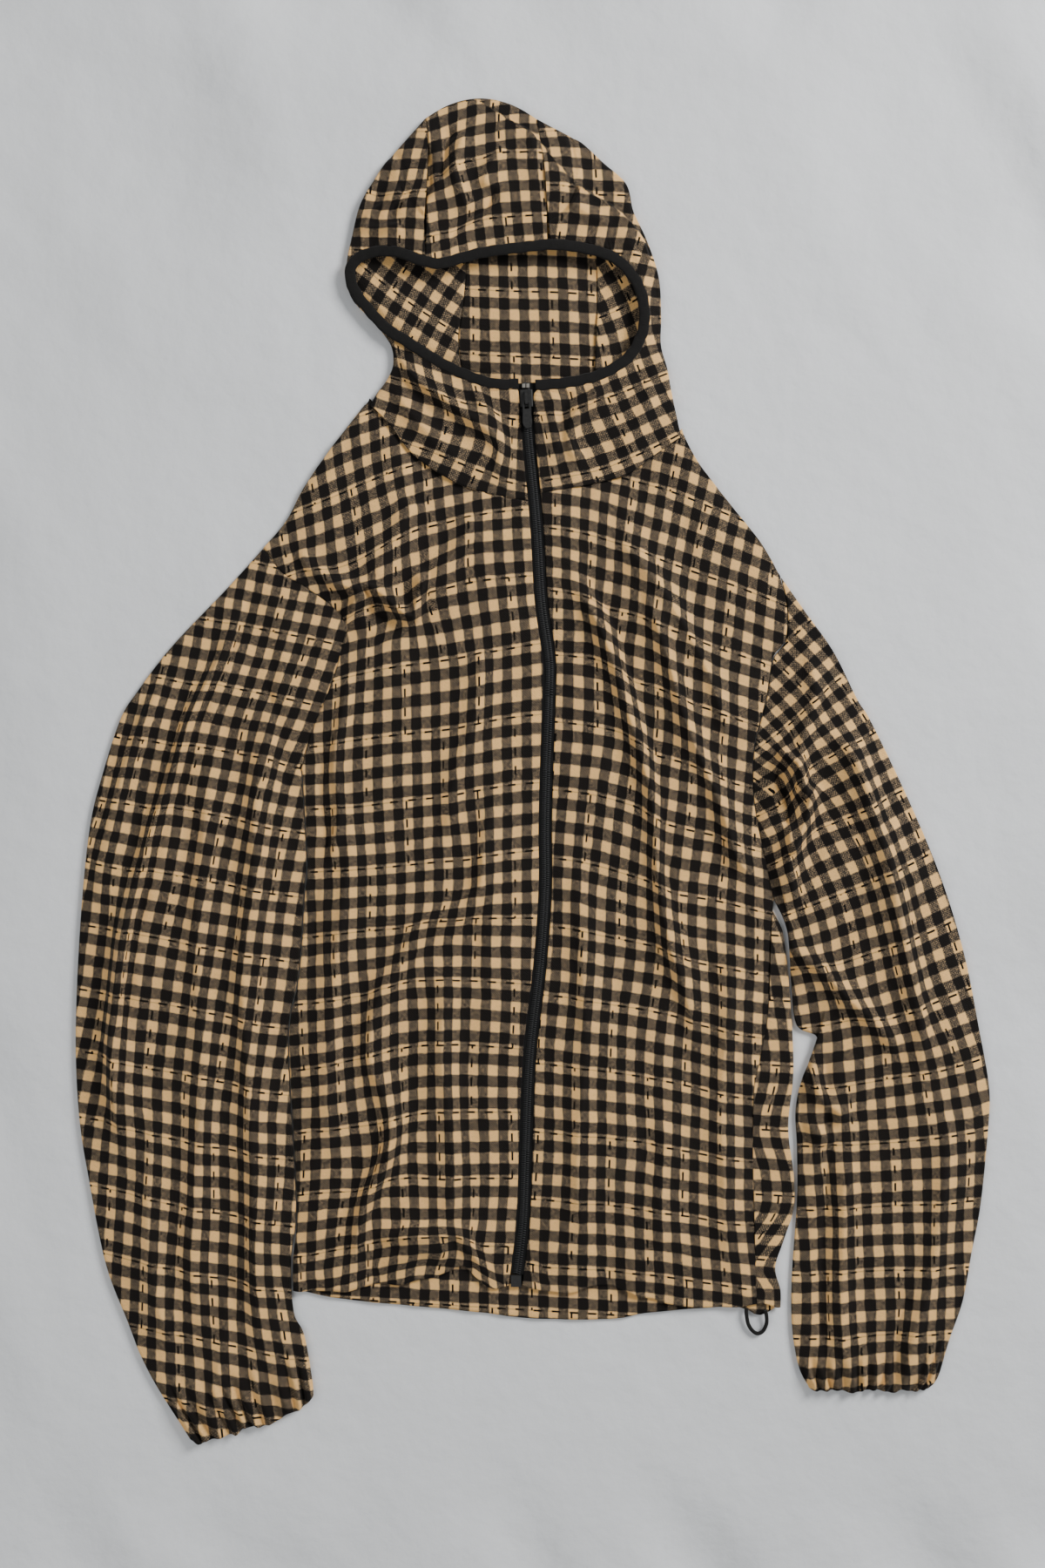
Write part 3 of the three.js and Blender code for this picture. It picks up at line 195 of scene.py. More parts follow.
SLEEVE_LEFT_INNER = line(
    *SIDE_LEFT[:8], (-187, -375), (-185, -416), (-177, -434), (-171, -467), (-170, -480))
CUFF_LEFT = line((-265, -513), (-256, -515), (-231, -509), (-207, -502), (-174, -487), (-170, -480))
SLEEVE_RIGHT_OUTER = line(
    (190.8, 149), (209, 123), (231, 92), (249, 56), (260, 38), (288, -20), (314, -82), (332, -141),
    (344, -201), (351, -241), (351, -270), (345, -332), (338, -370), (331, -408), (321, -437), (312, -466),
    (305, -474))
SLEEVE_RIGHT_INNER = line(
    (185.4, -98.8), (196, -124), (199, -165), (203, -196), (219, -207), (207, -238), (202, -262), (203, -290),
    (203, -330), (199, -389), (199, -427), (204, -458), (212, -474))
CUFF_RIGHT = line((305, -474), (280, -476), (250, -477), (230, -476), (212, -474))

# Hood seams beside the centre panel: left x and y, right x and y, height, bow
HOOD_SEAMS = line(
    (-83, 394.5, 10.5, 407.3, 13.0, 1), (-82, 420, 10, 420, 13.4, 1), (-82, 446, 10, 440, 12.2, 2),
    (-81, 474, 8, 467, 9.4, 6), (-82, 494, 4, 491, 6.0, 12), (-83, 500.5, 3, 499.5, 4.2, 15),
    (-83, 502, 3, 501, 2.4, 16), (-82, 499, 6, 498, FLOOR_MID, 14), (-75, 475, 20, 478, FLOOR_MID, 10),
    (-66, 440, 38, 440, FLOOR_MID, 4), (-53, 400, 48, 400, FLOOR_MID, 0), (-54, 363, 49, 360, FLOOR_MID, 0),
    (-58, 334, 48, 325, FLOOR_MID, 0), (-55, 300, 47, 295, FLOOR_MID, 0), (-54, 263, 47, 251.5, FLOOR_MID, 0))
# Side panels of the hood, a row across each panel at a time: its place along the binding, how far it is
# tucked under it, the side fold's x, y, upper and lower height, its place along the seam with the centre
# panel, how much of the neck's curve it takes, and its Y on the zip once it is past the binding
RIM_AT, TUCK, FOLD_X, FOLD_Y, FOLD_TOP, FOLD_LOW, SEAM_AT, NECK_TAKEN, ZIP_Y, EDGE = range(10)
HOOD_LEFT_ROWS = line(
    (13.25, 0, -84, 420, 13.2, 13.2, 2, 0, 0), (12.2, 0, -97, 434, 12.0, 12.0, 2.9, 0, 0),
    (11.4, 0, -103, 460, 9.4, 8.4, 4.1, 0, 0), (10.8, 0.5, -111, 470, 5.6, 2.4, 5.8, 0, 0),
    (10.3, 0.5, -123, 454, 5.4, FLOOR_MID, 7.3, 0, 0), (9.8, 1, -133, 436, 5.0, FLOOR_MID, 8.0, 0, 0),
    (9.3, 1, -139, 412, 4.2, FLOOR_MID, 9.0, 0, 0), (8.7, 1, -143, 394, 3.6, FLOOR_MID, 9.8, 0, 0),
    (8.1, 1, -144, 378, 3.6, FLOOR_MID, 10.5, 0, 0), (7.4, 1, -139, 363, 3.6, FLOOR_MID, 11.2, 0, 0),
    (6.6, 1, -128, 351, 3.8, FLOOR_MID, 11.8, 0, 0), (5.9, 0.5, -117, 339, 4.4, FLOOR_MID, 12.3, 0, 0),
    (5.1, 0.5, -109, 326, 4.6, FLOOR_MID, 12.7, 0, 0), (4.2, 0, -108, 312, 5.2, FLOOR_MID, 13.0, 0, 0),
    (3.1, 0, -112, 302, 5.2, FLOOR_MID, 13.3, 0, 0), (2.0, 0, -116, 296, 5.2, FLOOR_MID, 13.5, 0, 0),
    (1.2, 0, -118, 293.5, 5.2, FLOOR_MID, 13.6, 0.05, 0),
    (0.5, 0, -119.5, 291.5, 5.2, FLOOR_MID, 13.65, 0.08, 0),
    (0.1, 0, -121, 289.5, 5.0, FLOOR_MID, 13.7, 0.1, 0), (0, 0, -122.5, 287, 4.9, FLOOR_MID, 13.8, 0.25, 278),
    (0, 0, -124, 284.5, 4.8, FLOOR_MID, 13.87, 0.55, 250), (0, 0, -125.5, 281, 4.6, FLOOR_MID, 14, 1, 208.6))
HOOD_RIGHT_ROWS = line(
    (17.86, 0, 11.4, 424, 13.2, 13.2, 2, 0, 0), (18.6, 0, 27, 438, 12.4, 12.4, 2.9, 0, 0),
    (19.2, 0, 34, 462, 9.0, 8.0, 4.2, 0, 0), (19.85, 0, 33, 485, 4.4, 2.4, 5.8, 0, 0),
    (20.5, 0, 55, 467, 4.2, FLOOR_MID, 7.6, 0, 0), (21.1, 0, 71, 452, 4.2, FLOOR_MID, 8.4, 0, 0),
    (21.7, 0, 76, 432, 4.2, FLOOR_MID, 9.2, 0, 0), (22.3, 0, 87, 408, 4.4, FLOOR_MID, 10.0, 0, 0),
    (23.0, 0, 96, 380, 4.6, FLOOR_MID, 11.0, 0, 0), (23.9, 0, 98, 350, 4.8, FLOOR_MID, 11.8, 0, 0),
    (24.9, 0, 98, 328, 5.0, FLOOR_MID, 12.6, 0, 0), (25.8, 0, 103, 309, 5.2, FLOOR_MID, 13.0, 0, 0),
    (26.9, 0, 106, 292, 5.2, FLOOR_MID, 13.3, 0, 0), (28.0, 0, 108.5, 280, 5.2, FLOOR_MID, 13.5, 0, 0),
    (28.9, 0, 110.5, 271, 5.0, FLOOR_MID, 13.65, 0.1, 0),
    (29, 0, 111.5, 266, 4.9, FLOOR_MID, 13.75, 0.25, 280),
    (29, 0, 112.7, 261.5, 4.8, FLOOR_MID, 13.85, 0.55, 252), (29, 0, 114, 257, 4.6, FLOOR_MID, 14, 1, 213.6))
BINDING_LINE = line(
    (-11.5, 297, 8.6), (-29, 297, 8.6), (-47, 302, 8.5), (-65, 310, 8.2), (-81, 319, 7.6), (-99, 331, 7.0),
    (-113, 340, 6.8), (-128, 356, 6.6), (-138, 370, 6.4), (-141, 383, 6.5), (-136, 393, 7.0),
    (-122, 398.5, 9.0), (-104, 397.5, 12.0), (-88, 391.5, 13.0), (-72, 388.5, 13.0), (-56, 392.5, 13.0),
    (-38, 397, 13.0), (-8, 401, 13.0), (16, 403, 13.0), (41, 400, 12.2), (59, 394.5, 11.4), (71, 385.5, 10.8),
    (81, 371, 10.0), (85, 354, 9.6), (84, 338, 9.2), (77, 322.5, 8.8), (66, 312, 8.6), (48, 303, 8.6),
    (25, 298, 8.6), (1.5, 296, 8.6))
CORD_LINE = line(
    (164, -413.6, 3.3), (164, -418, 3.2), (165.5, -426, 2.2), (169, -431.5, 1.6), (173, -433.5, 1.55),
    (177, -431.5, 1.6), (179.5, -426, 2.0), (179.5, -420, 3.1), (178.5, -415.4, 3.3))
HOOD_STEP = line((-24, 504), (3, 486), (16, 468), (32, 449), (55, 436), (73, 421), (89, 403), (96, 383))


def fold(height, left, right, *points):
    """A fold's height, its reach to each side of its line, and the line."""
    return height, left, right, line(*points)


BODY_FOLDS = (
    fold(7.5, 15, 8, (18, 170), (30, 145), (42, 127), (58, 93), (74, 40), (82, 14), (91, -23), (95, -75),
         (104, -133), (113, -157), (122, -194), (125, -224)),
    fold(-3, 9, 7, (28, 175), (45, 145), (62, 112), (80, 60), (92, 21), (99, -38), (103, -78), (114, -133)),
    fold(6.5, 13, 9, (82, 150), (90, 125), (104, 82), (116, 40), (131, 3), (145, -31), (158, -70),
         (182, -89)),
    fold(4, 10, 12, (100, -262), (100, -292), (97, -319), (99, -370)),
    fold(4, 14, 12, (148, -120), (150, -180), (144, -250), (147, -330), (150, -390)),
    fold(4, 14, 12, (30, -60), (36, -130), (40, -210), (34, -300), (38, -380)),
    fold(5, 12, 12, (60, 180), (82, 160), (110, 120), (136, 70), (150, 20)),
    fold(6, 8, 6, (-182, 172), (-170, 154), (-150, 143), (-128, 139)),
    fold(6, 6, 5, (-150, 108), (-146, 115), (-139, 127), (-128, 138)),
    fold(7, 9, 4, (-138, 146), (-120, 138), (-104, 124), (-92, 118), (-88, 134), (-84, 158)),
    fold(-4, 6, 6, (-130, 96), (-112, 106), (-100, 116)),
    fold(-3, 8, 8, (-128, 124), (-112, 118), (-104, 112)),
    fold(3.5, 9, 9, (-88, 136), (-60, 168), (-44, 196)),
    fold(4.5, 14, 12, (-39, 100), (-43, 56), (-49, 27), (-60, -3), (-66, -50)),
    fold(6, 15, 10, (-21, -5), (-32, -28), (-37, -52), (-41, -91), (-56, -108), (-87, -121), (-103, -149),
         (-119, -175), (-126, -220), (-114, -248), (-109, -275), (-116, -307), (-134, -345), (-136, -380)),
    fold(4, 12, 12, (-144, -13), (-142, -52), (-144, -85), (-152, -150), (-158, -230), (-154, -310)),
    fold(3.5, 5, 5, (-146, 98), (-144, 60), (-152, 10), (-149, -40), (-162, -80), (-168, -120)),
    fold(-3, 5, 5, (-160, 30), (-165, -20), (-158, -60), (-168, -105), (-170, -160)),
    fold(4.5, 12, 14, (-66, -150), (-70, -220), (-62, -290), (-66, -350)),
    fold(8, 16, 12, (-128, -386), (-108, -377), (-86, -368), (-62, -372)),
    fold(5, 6, 6, (-126, -358), (-95, -356), (-60, -355), (-52, -367), (-59, -391)),
    fold(6, 5, 4, (-56, -362), (-41, -379), (-29, -397), (-24, -408)),
    fold(4, 6, 6, (-133, -402), (-136, -376), (-130, -331), (-112, -295), (-103, -259)),
    fold(4, 7, 7, (2, -366), (0, -384), (16, -402)),
    fold(4, 6, 6, (-178, -384), (-168, -392), (-150, -398)),
    fold(4, 12, 12, (-90, 210), (-112, 170), (-122, 145)),
)
SLEEVE_LEFT_FOLDS = (
    fold(9, 14, 7, (-218, 150), (-228, 118), (-240, 84), (-255, 56), (-266, 30), (-277, -5), (-288, -36),
         (-297, -62), (-312, -111), (-317, -144), (-321, -182), (-323, -219), (-318, -270), (-310, -314)),
    fold(-4, 6, 9, (-212, 158), (-221, 124), (-233, 90), (-247, 62), (-259, 34), (-269, 0), (-280, -32),
         (-290, -60), (-304, -111), (-309, -144), (-312, -190), (-313, -230)),
    fold(6, 10, 8, (-284, 77), (-303, 30), (-319, -13), (-333, -60), (-338, -110)),
    fold(7, 16, 12, (-190, 90), (-202, 40), (-212, -20), (-214, -90), (-222, -150), (-219, -230),
         (-214, -320), (-212, -410), (-208, -470)),
    fold(4.5, 12, 12, (-246, 40), (-252, -50), (-258, -120), (-256, -178), (-254, -228), (-258, -300),
         (-262, -380), (-248, -460)),
    fold(3.5, 9, 9, (-290, -250), (-296, -330), (-290, -400), (-276, -450)),
    fold(3.5, 9, 9, (-236, -400), (-240, -450), (-246, -500)),
    fold(-3, 8, 8, (-207, 71), (-195, 30), (-192, 1), (-188, -20)),
)
SLEEVE_RIGHT_FOLDS = (
    fold(8, 12, 16, (211, 36), (240, 20), (252, -6), (264, -46), (272, -70), (280, -111), (288, -151),
         (296, -190), (300, -240)),
    fold(7, 10, 10, (192, -133), (219, -151), (240, -173), (260, -191), (284, -219)),
    fold(6, 9, 9, (206, -215), (216, -240), (226, -256), (244, -266)),
    fold(5, 8, 8, (204, -262), (214, -276), (232, -286)),
    fold(-3.5, 7, 8, (222, -206), (227, -260), (225, -332), (221, -399), (221, -427), (227, -460)),
    fold(5, 12, 12, (240, -290), (238, -350), (236, -420), (240, -465)),
    fold(4.5, 12, 12, (318, -250), (314, -320), (304, -390), (290, -440), (284, -470)),
    fold(-3, 6, 6, (290, -399), (279, -433), (276, -470)),
    fold(8.5, 5, 7, (186, 16), (196, 10), (204, 0), (208, -22)),
    fold(-7, 5, 5, (186, 0), (192, -8), (197, -26), (194, -44)),
    fold(7, 7, 7, (196, -64), (208, -40), (214, -10)),
    fold(5, 10, 10, (206, 100), (216, 60), (206, 20), (196, -60), (204, -110)),
)
HOOD_FOLDS = (
    fold(5.5, 11, 4, (-105, 320), (-90, 300), (-74, 289), (-57, 276), (-41, 265), (-28, 254), (-25, 248),
         (-26, 232), (-20, 216)),
    fold(4, 5, 8, (-47, 294), (-37, 279), (-28, 262), (-24, 250), (-20, 236)),
    fold(2.5, 7, 7, (-112, 300), (-96, 277), (-72, 251), (-50, 236)),
    fold(5, 4, 9, (53, 299), (43, 284), (35, 275), (28, 259), (30, 246), (40, 236)),
    fold(4, 5, 5, (20, 290), (13, 276), (14, 264), (17, 251), (15, 226)),
    fold(-2, 4, 4, (30, 292), (22, 276), (21, 262), (24, 246)),
    fold(2.5, 9, 9, (92, 300), (84, 272), (64, 246)),
    fold(-3.5, 4, 4, (-60, 494), (-67, 482), (-69, 466), (-72, 452)),
    fold(3.5, 6, 6, (-50, 492), (-58, 474), (-60, 458), (-54, 440), (-50, 424)),
    fold(-3.5, 5, 5, (-30, 448), (-36, 432), (-47, 426), (-59, 416), (-66, 404)),
    fold(3, 7, 7, (-22, 480), (-34, 462), (-38, 446)),
    fold(-3, 4, 5, (-81, 482), (-80, 456), (-83, 442), (-105, 434), (-110, 420)),
    fold(3.5, 6, 6, (-94, 470), (-98, 446), (-122, 430), (-132, 418)),
    fold(3, 5, 6, (-136, 419), (-120, 416), (-100, 417)),
    fold(2.5, 8, 8, (22, 446), (36, 430), (58, 418)),
)

# The weave's lean at places in the plan: x, y, warp and weft turned clockwise in degrees
GRAIN = {
    "front_right": line(
        (10, 200, 0, 2), (8, 100, 0, 0), (8, 0, 0, 0), (5, -100, 0, 0), (-5, -300, 2, 0), (45, 150, 2, 6),
        (45, 0, 1, 5), (85, 190, 12, 14), (85, 100, 8, 20), (85, 0, 4, 20), (85, -80, 3, 16),
        (126, 190, 15, 24), (126, 120, 8, 20), (126, 70, 4, 17), (166, 130, 6, 27), (150, 0, 3, 14),
        (150, -100, 2, 8), (100, -180, 2, 8), (160, -200, 1, 8), (90, -300, 0, 7), (160, -350, 0, 9),
        (40, -250, 0, 4)),
    "front_left": line(
        (-10, 200, 0, 0), (-5, 0, 0, 0), (-12, -150, 0, 2), (-35, 180, 0, -3), (-35, 100, 0, -6),
        (-35, 0, 0, -9), (-35, -200, 0, 6), (-75, 190, -3, -10), (-75, 150, -2, -12), (-75, 50, 0, -2),
        (-75, -150, 0, 0), (-116, 190, -6, -27), (-116, 150, -5, -24), (-116, 50, 0, -2),
        (-116, -100, 0, -3), (-116, -200, 0, -14), (-116, -290, 0, -12), (-116, -380, 0, -10),
        (-156, 190, -8, -29), (-160, -50, 0, 0), (-165, -200, 0, -8), (-165, -350, 0, -8),
        (-75, -300, 0, -2), (-42, -384, 26, 30), (-62, -372, -4, 0), (-24, -372, 0, 0), (-100, -372, 6, 4)),
    "sleeve_left": line(
        (-215, 137, 12, 12), (-240, 90, 16, 14), (-255, 37, 16, 10), (-300, 20, 22, 14), (-330, -50, 20, 12),
        (-335, -164, 16, 8), (-260, -50, 10, 8), (-210, 0, 8, 10), (-250, -164, 7, 8), (-200, -150, 4, 8),
        (-300, -300, 8, 8), (-250, -300, 4, 8), (-200, -300, 2, 8), (-290, -430, 2, 10),
        (-240, -440, -3, 12), (-200, -450, -6, 14), (-220, -500, -8, 14)),
    "sleeve_right": line(
        (210, 104, -45, -45), (226, 60, -45, -45), (200, 3, -42, -42), (260, 60, -38, -38),
        (262, 0, -24, -24), (275, -50, -18, -18), (293, -164, -12, -12), (260, -164, -14, -14),
        (327, -120, -26, -26), (327, -198, -22, -22), (225, -100, -20, -20), (225, -200, -8, -8),
        (300, -240, -4, -4), (260, -260, 0, 0), (230, -350, 0, 0), (300, -350, 0, 0), (270, -450, 0, 0),
        (220, -450, 0, 0), (310, -440, 2, 2)),
    "hood_left": line(
        (-117, 451, 17, 12), (-91, 481, 15, 5), (-100, 429, -5, -17), (-131, 442, 15, 18),
        (-130, 408, -8, -5),
        (-88, 308, -25, -10), (-71, 295, -33, 5), (-50, 278, -35, 0), (-37, 286, -30, 5), (-20, 274, -10, 2),
        (-15, 244, -12, 0), (-14, 225, -6, 0), (-110, 290, 42, 45), (-90, 275, 41, 44), (-75, 255, 38, 40),
        (-55, 245, 34, 36), (-40, 238, 28, 28), (-30, 226, 14, 14), (-128, 380, 30, 30)),
    "hood_right": line(
        (40, 464, -16, -6), (62, 452, -14, -4), (11, 491, -28, -22), (84, 424, -12, 2), (23, 434, 0, 12),
        (46, 425, 6, 15), (62, 417, 18, 18), (79, 408, 35, 38), (92, 391, 45, 42), (12, 274, 4, -2),
        (20, 255, -3, -4), (13, 219, -2, -4), (34, 223, -14, -14), (50, 262, -28, -21), (63, 270, -35, -33),
        (76, 280, -36, -44), (91, 268, -36, -40), (54, 231, -30, -27), (95, 330, -38, -44),
        (96, 360, 10, 10)),
    "hood_centre": line(
        (-61, 442, -20, -27), (-48, 494, 5, -12), (-44, 459, -16, -25), (-35, 433, 4, -10),
        (-72, 470, -4, -22),
        (-20, 467, 3, -4), (-18, 430, 3, 4), (5, 480, 3, 6), (2, 430, 3, 7), (-70, 415, -12, -10)),
    "inside_centre": line(
        (-50, 380, 2, 4), (40, 380, 3, 7), (0, 330, 0, 5), (-30, 320, -4, 2), (0, 450, 3, 3)),
    "inside_left": line((-100, 375, 35, 38), (-80, 340, 28, 32), (-110, 400, 42, 45)),
    "inside_right": line((70, 400, -40, -45), (70, 340, -30, -35), (60, 320, 10, 12)),
}
# The raster on which the weave is laid, and how far each lean in the table reaches
RASTER, RASTER_EDGE = 4.0, 12
GRAIN_REACH = 25.0
# How the weave wanders: both yarns together in wide and small bumps, then warp and weft on their own
WANDER, SMALL_WANDER, WARP_WANDER, WEFT_WANDER = 4.0, 2.4, 4.5, 3.5
# How much more cloth the folds take up than their height shows
SWALLOWED = 2.0
# A fold's line: the steps along it, the radius of its crest, the crest's share of the height, its ends
FOLD_STEPS = 28
CREST, SHARPNESS = 0.8, 0.5
FOLD_END = 0.18
LIFT = 1.5
UNDER_CREASE = 0.9
# After so many bumps the unevenness repeats
BUMPS = 66
# How the long creases of each piece lean, in degrees clockwise, and how high they are
CREASES = {
    "front_left": (4, 1.3), "front_right": (-6, 1.3), "sleeve_left": (-2, 1.5), "sleeve_right": (16, 1.5),
    "hood_left": (-30, 0.7), "hood_right": (35, 0.7), "hood_centre": (-8, 0.8),
}


def ease(value):
    v = np.clip(value, 0, 1)
    return v * v * (3 - 2 * v)


def mix(a, b, share):
    return a + (b - a) * share


def fade(share, start, end):
    """0 at both ends of the shares from 0 to 1, rising over a start part and falling over an end part."""
    return ease(share / start) * ease((1 - share) / end)


def falling(distance, reach):
    """1 on a line, falling smoothly away from it."""
    return np.exp(-(distance / reach) ** 2)


def run_length(points):
    """How far along a line of points each of them lies."""
    return np.concatenate([[0], np.cumsum(np.linalg.norm(np.diff(points, axis=0), axis=1))])


def station_values(rows, station):
    """Smooth values of every column at stations between rows; whole numbers are the rows."""
    station = np.asarray(station, float)
    i = np.clip(np.floor(station).astype(int), 0, len(rows) - 2)
    f = (station - i)[..., None]
    last = len(rows) - 1
    a, b, c, d = rows[np.maximum(i - 1, 0)], rows[i], rows[i + 1], rows[np.minimum(i + 2, last)]
    square, cube = 2 * a - 5 * b + 4 * c - d, 3 * b - a - 3 * c + d
    return 0.5 * (2 * b + (c - a) * f + square * f ** 2 + cube * f ** 3)


def along(rows):
    """A smooth curve through rows of x, y and more, followed by its share of the length."""
    reach = np.concatenate([[0], np.cumsum(np.hypot(*np.diff(rows[:, :2], axis=0).T))])

    def curve(share):
        at = np.asarray(share, float) * reach[-1]
        i = np.clip(np.searchsorted(reach, at), 1, len(rows) - 1)
        return station_values(rows, i - 1 + (at - reach[i - 1]) / (reach[i] - reach[i - 1]))
    return curve


def beside(curve, distance):
    """The curve moved sideways, to the left of its direction for a positive distance."""
    def moved(share):
        share = np.asarray(share, float)
        here = curve(share).copy()
        run = curve(np.minimum(share + NEAR, 1))[..., :2] - curve(np.maximum(share - NEAR, 0))[..., :2]
        run /= np.linalg.norm(run, axis=-1, keepdims=True)
        here[..., 0] -= distance * run[..., 1]
        here[..., 1] += distance * run[..., 0]
        return here
    return moved


def trimmed(curve, start, end):
    return lambda share: curve(mix(start, end, np.asarray(share, float)))


def turned_round(curve):
    return lambda share: curve(1 - np.asarray(share, float))


def joined(*parts):
    """Curves end to end, each with the share of the whole where it ends."""
    def curve(share):
        share = np.asarray(share, float)
        start, values = 0.0, None
        for part, end in parts:
            own = part(np.clip((share - start) / (end - start), 0, 1))[..., :2]
            values = own if values is None else np.where((share > start)[..., None], own, values)
            start = end
        return values
    return curve


def patch(top, bottom, left, right, s, t):
    """Plan points of a four-sided panel; s runs from left to right and t from top to bottom."""
    s3, t3 = s[..., None], t[..., None]
    ends = np.array([0.0, 1.0])
    (a, b), (c, d) = top(ends)[:, :2], bottom(ends)[:, :2]
    return (mix(top(s)[..., :2], bottom(s)[..., :2], t3) + mix(left(t)[..., :2], right(t)[..., :2], s3)
            - mix(mix(a, b, s3), mix(c, d, s3), t3))


def nearest_on(points, x, y):
    """Distance to a polyline, which side, and the share of it reached."""
    best = np.full(x.shape, 1e9)
    side = np.zeros(x.shape)
    share = np.zeros(x.shape)
    for i in range(len(points) - 1):
        (ax, ay), (dx, dy) = points[i], points[i + 1] - points[i]
        f = np.clip(((x - ax) * dx + (y - ay) * dy) / (dx * dx + dy * dy), 0, 1)
        distance = np.hypot(x - ax - f * dx, y - ay - f * dy)
        closer = distance < best
        best = np.where(closer, distance, best)
        side = np.where(closer, dx * (y - ay) - dy * (x - ax), side)
        share = np.where(closer, (i + f) / (len(points) - 1), share)
    return best, side, share


def fold_height(folds, x, y):
    """Height that folds add at points of the plan; each fades out at its two ends."""
    total = np.zeros(x.shape)
    for height, left, right, rows in folds:
        points = along(rows)(np.linspace(0, 1, FOLD_STEPS + 1))[:, :2]
        reach = 3 * max(left, right)
        low, high = points.min(axis=0) - reach, points.max(axis=0) + reach
        near = (x > low[0]) & (x < high[0]) & (y > low[1]) & (y < high[1])
        if near.any():
            distance, side, share = nearest_on(points, x[near], y[near])
            width = np.where(side > 0, left, right)
            crest = np.exp(-(np.sqrt(distance ** 2 + CREST ** 2) - CREST) / (0.4 * width))
            profile = mix(falling(distance, width), crest, SHARPNESS)
            total[near] += height * fade(share, FOLD_END, FOLD_END) * profile
    return total


def uneven(x, y, size, seed):
    """Smooth uneven values from -1 to 1, in bumps about one size across."""
    values = np.random.default_rng(seed).uniform(-1, 1, (BUMPS + 1, BUMPS + 1))
    u, v = x / size, y / size
    i, j = np.floor(u).astype(int), np.floor(v).astype(int)
    fu, fv = ease(u - i), ease(v - j)
    i, j, i1, j1 = i % BUMPS, j % BUMPS, (i + 1) % BUMPS, (j + 1) % BUMPS
    low = mix(values[i, j], values[i1, j], fu)
    high = mix(values[i, j1], values[i1, j1], fu)
    return mix(low, high, fv)


def crumple(x, y, seed):
    """Small soft unevenness of crinkled cotton, in millimetres."""
    return (0.5 * uneven(x, y, 38, seed) + 0.32 * uneven(x, y, 17, seed + 1)
            + 0.2 * uneven(x + 0.4 * y, y, 8, seed + 2))


def relief(name, folds, x, y, seed):
    """Height of a piece's folds and of its long soft creases at points of the plan."""
    lean, size = CREASES[name]
    c, s = math.cos(math.radians(lean)), math.sin(math.radians(lean))
    across, run = x * c - y * s, x * s + y * c
    long = uneven(across, 0.15 * run, 19, seed + 8) + 0.55 * uneven(across, 0.2 * run, 9, seed + 9)
    return LIFT * fold_height(folds, x, y) + size * long


def under_creases(x, y, s, t, seed):
    """Low soft ridges in a layer that lies on the surface, fading out towards the panel's edges."""
    long = uneven(x + 0.3 * y, 0.25 * y, 27, seed) + 0.6 * uneven(x, 0.4 * y, 15, seed + 1)
    return UNDER_CREASE * fade(s, 0.1, 0.1) * fade(t, 0.05, 0.05) * np.clip(long, 0, 1)


def puckers(distance, run, seed, depth=0.7, reach=9.0, length=13.0):
    """Small waves beside a seam, across it, fading away from it."""
    wave = np.sin(2 * np.pi * run / length + 3.0 * uneven(run, 0 * run, 31, seed))
    size = 0.6 + 0.4 * uneven(run, 0 * run, 22, seed + 5)
    return depth * size * wave * falling(distance, reach)


def integrated(slope_x, slope_y):
    """The surface whose slopes come closest to the given ones, over a grid of raster cells."""
    rows, cols = slope_x.shape
    fx = np.fft.fft2(np.block([[slope_x, -slope_x[:, ::-1]], [slope_x[::-1], -slope_x[::-1, ::-1]]]))
    fy = np.fft.fft2(np.block([[slope_y, slope_y[:, ::-1]], [-slope_y[::-1], -slope_y[::-1, ::-1]]]))
    wx = 2 * np.pi * np.fft.fftfreq(2 * cols, RASTER)[None, :]
    wy = 2 * np.pi * np.fft.fftfreq(2 * rows, RASTER)[:, None]
    power = wx ** 2 + wy ** 2
    power[0, 0] = 1
    return np.real(np.fft.ifft2((-1j * wx * fx - 1j * wy * fy) / power))[:rows, :cols]


def lay_weave(name, x, y, folds, seed):
    """Cloth coordinates in millimetres for points of the plan, with the lean of the weave."""
    rows = GRAIN[name]
    x0, y0 = x.min() - RASTER_EDGE, y.min() - RASTER_EDGE
    xs = np.arange(x0, x.max() + RASTER_EDGE + RASTER, RASTER)
    ys = np.arange(y0, y.max() + RASTER_EDGE + RASTER, RASTER)
    gx, gy = np.meshgrid(xs, ys)
    weight = [((gx - r[0]) ** 2 + (gy - r[1]) ** 2 + GRAIN_REACH ** 2) ** -1.5 for r in rows]
    whole = sum(weight)
    warp, weft = (np.radians(sum(w * r[k] for w, r in zip(weight, rows)) / whole) for k in (2, 3))
    turned = WANDER * uneven(gx, gy, 60, seed) + SMALL_WANDER * uneven(gx, 0.6 * gy, 31, seed + 1)
    warp = warp + np.radians(turned + WARP_WANDER * uneven(gx, 0.5 * gy, 27, seed + 2))
    weft = weft + np.radians(turned + WEFT_WANDER * uneven(0.6 * gx, gy, 33, seed + 3))
    high = SWALLOWED * relief(name, folds, gx, gy, seed) if folds else 0 * gx
    hy, hx = np.gradient(high, RASTER)
    steep = np.hypot(hx, hy) + 1e-9
    nx, ny = hx / steep, hy / steep
    extra = np.sqrt(1 + steep ** 2) - 1
    cloth = []
    for along_x, along_y in ((np.cos(warp), -np.sin(warp)), (np.sin(weft), np.cos(weft))):
        across = extra * (nx * along_x + ny * along_y)
        cloth.append(integrated(along_x + nx * across, along_y + ny * across))
    fu, fv = (x - x0) / RASTER, (y - y0) / RASTER
    i, j = fu.astype(int), fv.astype(int)
    fu, fv = fu - i, fv - j
    between = [mix(mix(g[j, i], g[j, i + 1], fu), mix(g[j + 1, i], g[j + 1, i + 1], fu), fv) for g in cloth]
    return np.stack(between, axis=-1)


